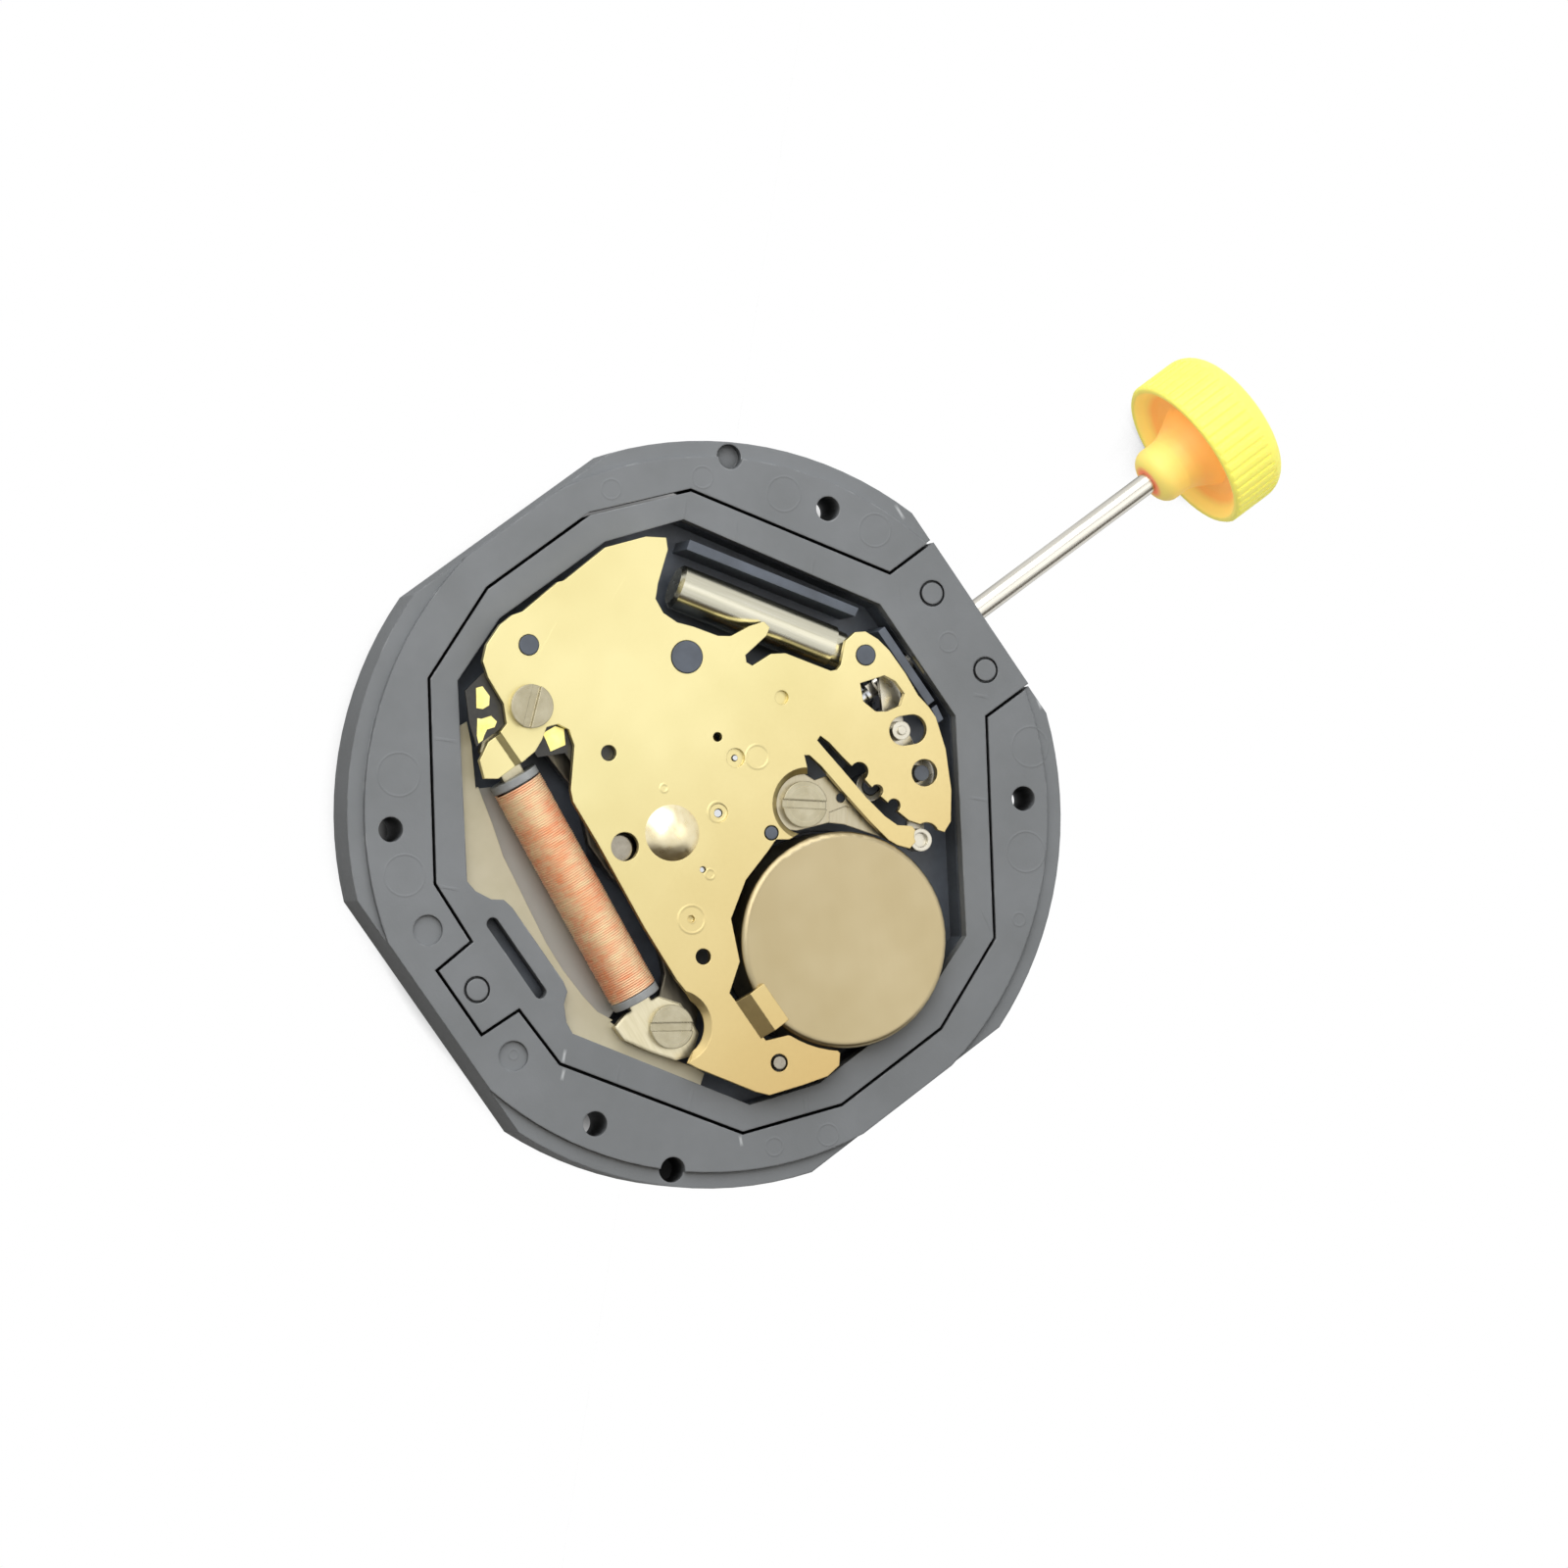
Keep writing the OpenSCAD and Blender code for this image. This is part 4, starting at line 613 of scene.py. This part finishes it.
FINISHES = {
    "casing_ring": ring_acetal, "inner_ring": ring_acetal, "main_plate": plate_nylon,
    "insulating_sheet": film, "train_bridge": gilding, "negative_contact": gilding,
    "rotor_cap": dome_gilding, "battery_can": cell_steel, "battery_cap": cell_steel,
    "battery_gasket": seal, "coil_winding": copper, "coil_drum": copper,
    "coil_bobbin": bobbin_nylon, "coil_core": core_iron, "stator": stator_iron_painted_shade,
    "clamp_plate": nickel, "motion_cover": nickel, "setting_lever": lever_steel,
    "yoke": lever_steel,
    "winding_stem": stem_steel, "setting_knob": knob_plastic, "crystal_can": can_nickel,
    "crystal_leads": nickel, "circuit_board": board, "circuit_pads": gold, "circuit_chip": epoxy,
    "centre_bush": bush_brass, "screw_posts": bush_brass, "fifth_wheel": wheel_brass,
    "seconds_wheel": wheel_brass, "third_wheel": wheel_brass, "centre_wheel": wheel_brass,
    "hour_wheel": wheel_brass, "rotor_pinion": pinion_steel, "fifth_pinion": pinion_steel,
    "seconds_arbor": pinion_steel, "third_pinion": pinion_steel, "cannon_pinion": pinion_steel,
    "setting_wheel": pinion_steel, "clutch_wheel": pinion_steel, "minute_wheel": ivory,
    "rotor_magnet": magnet, "steel_pins": pin_steel_painted_shade, "cover_screws": nickel,
    "bridge_screw": turned_nickel((-3.05, 6.2), "turned_nickel_bridge"),
    "coil_screw": turned_nickel((-5.0, -4.6), "turned_nickel_coil"),
    "clamp_screw": turned_nickel((2.54, -1.45), "turned_nickel_clamp"),
}


def dress(piece, material):
    piece.data.materials.clear()
    piece.data.materials.append(material)


for name, node in nodes.items():
    dress(node, FINISHES[name])

# The heads of the main plate's three staked pegs, pressed into the inner ring, are grey like it
STAKES = [(-9.4, 0.0), (10.05, 1.45), (10.1, -1.55)]
STAKE_REACH = 0.5
ABOVE_INNER_RING = 1.75
plate = nodes["main_plate"].data
plate.materials.append(ring_acetal)
for face in plate.polygons:
    middle = face.center / MM
    if middle.z > ABOVE_INNER_RING and any(
            math.hypot(middle.x - x, middle.y - y) < STAKE_REACH for x, y in STAKES):
        face.material_index = 1


# Copper winding: one long wire in even turns round the bobbin

def smooth_piece(name, points, faces, material, body):
    mesh = bpy.data.meshes.new(name)
    mesh.from_pydata([tuple(p) for p in points], [], faces)
    mesh.validate()
    mesh.polygons.foreach_set("use_smooth", [True] * len(mesh.polygons))
    piece = bpy.data.objects.new(name, mesh)
    bpy.context.scene.collection.objects.link(piece)
    dress(piece, material)
    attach(piece, body)
    return piece


def tube(path, radius, sides, out_from):
    """Rings of points round a path, with faces. out_from gives each point's outward direction."""
    points, faces = [], []
    for i, p in enumerate(path):
        run = (path[min(i + 1, len(path) - 1)] - path[max(i - 1, 0)]).normalized()
        side = run.cross(out_from(p)).normalized()
        up = side.cross(run)
        for k in range(sides):
            a = 2 * math.pi * k / sides
            points.append(p + radius * (up * math.cos(a) + side * math.sin(a)))
    for i in range(len(path) - 1):
        for k in range(sides):
            n = (k + 1) % sides
            a, b = i * sides, (i + 1) * sides
            faces.append((a + k, a + n, b + n, b + k))
    faces.append(tuple(reversed(range(sides))))
    faces.append(tuple((len(path) - 1) * sides + k for k in range(sides)))
    return points, faces


UPRIGHT = Vector((0, 0, 1))
COIL_MID = Vector((-4.96, 0.67, 1.675)) * MM
COIL_TURN = math.radians(84.3)
COIL_ALONG = Vector((math.cos(COIL_TURN), math.sin(COIL_TURN), 0))
COIL_SIDE = UPRIGHT.cross(COIL_ALONG)
COIL_LENGTH = 7.5 * MM
WIRE = 0.072 * MM
WIRE_SIDES = 5
WOUND_RADIUS = 0.77 * MM
WANDERING = 0.008 * MM
STEPS_A_TURN = 20
# Turns lie a little apart, and the five-sided wire is drawn a little thick to close the gaps
LAY = 1.01
PLUMP = 1.04


def wind_copper():
    """Evenly laid turns with small wanderings, as a winding machine leaves them."""
    chance = random.Random(7)
    turns = int((COIL_LENGTH - WIRE) / (WIRE * LAY))
    rise = (COIL_LENGTH - WIRE) / turns
    heave = [chance.uniform(-1, 1) for _ in range(turns + 3)]
    path = []
    for i in range(turns * STEPS_A_TURN + 1):
        turn = i / STEPS_A_TURN
        k = int(turn)
        ease = turn - k
        lift = (heave[k] * (1 - ease) + heave[k + 1] * ease) * WANDERING
        a = 2 * math.pi * turn
        r = WOUND_RADIUS + lift
        along = -COIL_LENGTH / 2 + WIRE / 2 + rise * turn
        path.append(COIL_MID + COIL_ALONG * along
                    + r * (COIL_SIDE * math.cos(a) + UPRIGHT * math.sin(a)))

    def outward(p):
        rel = p - COIL_MID
        return (rel - COIL_ALONG * rel.dot(COIL_ALONG)).normalized()

    points, faces = tube(path, WIRE / 2 * PLUMP, WIRE_SIDES, outward)
    piece = smooth_piece("copper_winding", points, faces, copper, "frame_body")
    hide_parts("coil_winding", "coil_drum")


wind_copper()


# Floor and light: a white sweep under soft lamps

def seen_ray(tree):
    """1 for what the camera sees, straight or in metal or glass, 0 for light on matt surfaces."""
    ray = add(tree, "ShaderNodeLightPath").outputs
    through = maths(tree, "MAXIMUM", ray["Is Glossy Ray"], ray["Is Transmission Ray"])
    return maths(tree, "MAXIMUM", ray["Is Camera Ray"], through)


WHITE = (1, 1, 1, 1)
FLOOR_SIZE = 2
FLOOR_GAP = 0.02 * MM
SHADOW_REACH = 6 * MM
# How far from the hands' axis the floor is dark as seen, grey in what metal mirrors, and lit on
# its lower side. Each fades out between two distances
DARK_SEEN = (9.6 * MM, 10.8 * MM)
GREY_MIRRORED = (8.0 * MM, 9.5 * MM)
LIT_BELOW = (8.6 * MM, 10.2 * MM)


def pale_floor():
    """White as seen, with the object's soft shadow, and a dull bounce on the object's walls."""
    bpy.ops.mesh.primitive_plane_add(size=FLOOR_SIZE, location=(0, 0, cad_box[0][2] - FLOOR_GAP))
    floor = bpy.context.object
    floor.name = "pale_floor"
    material, tree, place = start("white_sweep")
    paper = speckle(tree, place, 40, 2)
    dull = add(tree, "ShaderNodeBsdfDiffuse", {"Color": between(tree, paper, "#35322d", "#3d3a35")})
    open_air = add(tree, "ShaderNodeAmbientOcclusion", {"Distance": SHADOW_REACH},
                   samples=16).outputs["AO"]
    # No light gets in under the movement to show through its holes. The knob and the arbors keep
    # it off the floor
    middle = vectors(tree, "LENGTH", place, result="Value")
    outside = span(tree, middle, 0.05, 1, *DARK_SEEN)
    straight = maths(tree, "MULTIPLY", span(tree, open_air, 0.03, 1, 0.05, 0.5), outside)
    shaded = maths(tree, "MULTIPLY", span(tree, open_air, 0.02, 1, 0.35, 1), outside)
    mirrored = maths(tree, "MAXIMUM", shaded, span(tree, middle, 0.4, 0, *GREY_MIRRORED))
    # A little light on the dial side, which only a view from below shows
    under = add(tree, "ShaderNodeEmission", {
        "Color": WHITE, "Strength": span(tree, middle, 0.8, 0, *LIT_BELOW)})
    matt = add(tree, "ShaderNodeAddShader", {0: dull.outputs[0], 1: under.outputs[0]})
    glossy = add(tree, "ShaderNodeLightPath").outputs["Is Glossy Ray"]
    in_metal = maths(tree, "MULTIPLY", mirrored, glossy)
    in_sight = maths(tree, "MULTIPLY", straight, maths(tree, "SUBTRACT", 1.0, glossy))
    white = add(tree, "ShaderNodeEmission", {
        "Color": WHITE, "Strength": maths(tree, "ADD", in_metal, in_sight)})
    top = add(tree, "ShaderNodeMixShader", {
        0: seen_ray(tree), 1: matt.outputs[0], 2: white.outputs[0]})
    # Clear from below, so that the dial side can be looked at
    below = add(tree, "ShaderNodeNewGeometry").outputs["Backfacing"]
    clear = add(tree, "ShaderNodeBsdfTransparent")
    finish(tree, add(tree, "ShaderNodeMixShader", {
        0: below, 1: top.outputs[0], 2: clear.outputs[0]}))
    dress(floor, material)


CARD_PLACE = (-0.16, -0.227, -0.13)
CARD_TILT = (math.radians(90), 0, math.radians(-35.2))


def brown_card():
    """A dull card off to the photograph's lower side, for the polished pieces to mirror."""
    bpy.ops.mesh.primitive_plane_add(size=1, location=CARD_PLACE, rotation=CARD_TILT)
    card = bpy.context.object
    card.name = "brown_card"
    card.visible_camera = False
    material, tree, place = start("brown_paper")
    finish(tree, add(tree, "ShaderNodeBsdfDiffuse", {
        "Color": between(tree, speckle(tree, place, 30, 2), "#76664f", "#80705a")}))
    dress(card, material)


def lamp(name, place, size, power, colour):
    """A round lamp aimed at the hands' axis."""
    light = bpy.data.lights.new(name, "AREA")
    light.shape = "DISK"
    light.size = size
    light.energy = power
    light.color = colour
    thing = bpy.data.objects.new(name, light)
    bpy.context.scene.collection.objects.link(thing)
    thing.location = place
    thing.rotation_euler = (-Vector(place)).to_track_quat("-Z", "Y").to_euler()


TOWARDS_CARD = (-0.85, -0.53, 0)
# From straight away from the card, 0, to straight towards it, 1
ROOM_COLOURS = [(0.2, "#f2f6fc"), (0.45, "#f4f4f2"), (0.52, "#efeae0"), (0.64, "#5a4b3c"),
                (0.8, "#2c241c")]
ROOM_STRENGTH = 0.7


def pale_room():
    """White as seen. The light on matt surfaces is dim and brown on the card's side."""
    world = bpy.data.worlds.new("pale_room")
    bpy.context.scene.world = world
    world.use_nodes = True
    tree = world.node_tree
    tree.nodes.clear()
    way = add(tree, "ShaderNodeTexCoord").outputs["Generated"]
    low = vectors(tree, "DOT_PRODUCT", way, TOWARDS_CARD, "Value")
    around = add(tree, "ShaderNodeBackground", {
        "Color": ramp(tree, span(tree, low, 0, 1, -1, 1), ROOM_COLOURS),
        "Strength": ROOM_STRENGTH})
    white = add(tree, "ShaderNodeBackground", {"Color": WHITE, "Strength": 1.0})
    both = add(tree, "ShaderNodeMixShader", {
        0: seen_ray(tree), 1: around.outputs[0], 2: white.outputs[0]})
    add(tree, "ShaderNodeOutputWorld", {"Surface": both.outputs[0]})


pale_floor()
brown_card()
pale_room()
NEUTRAL, WARM = (1, 1, 1), (1, 0.98, 0.95)
lamp("window", (0.015, 0.073, 0.072), 0.12, 0.06, NEUTRAL)
lamp("high_fill", (-0.02, 0.04, 0.095), 0.05, 0.014, WARM)
lamp("low_fill", (0.06, -0.03, 0.11), 0.08, 0.01, WARM)

bpy.context.scene.view_settings.view_transform = "Standard"
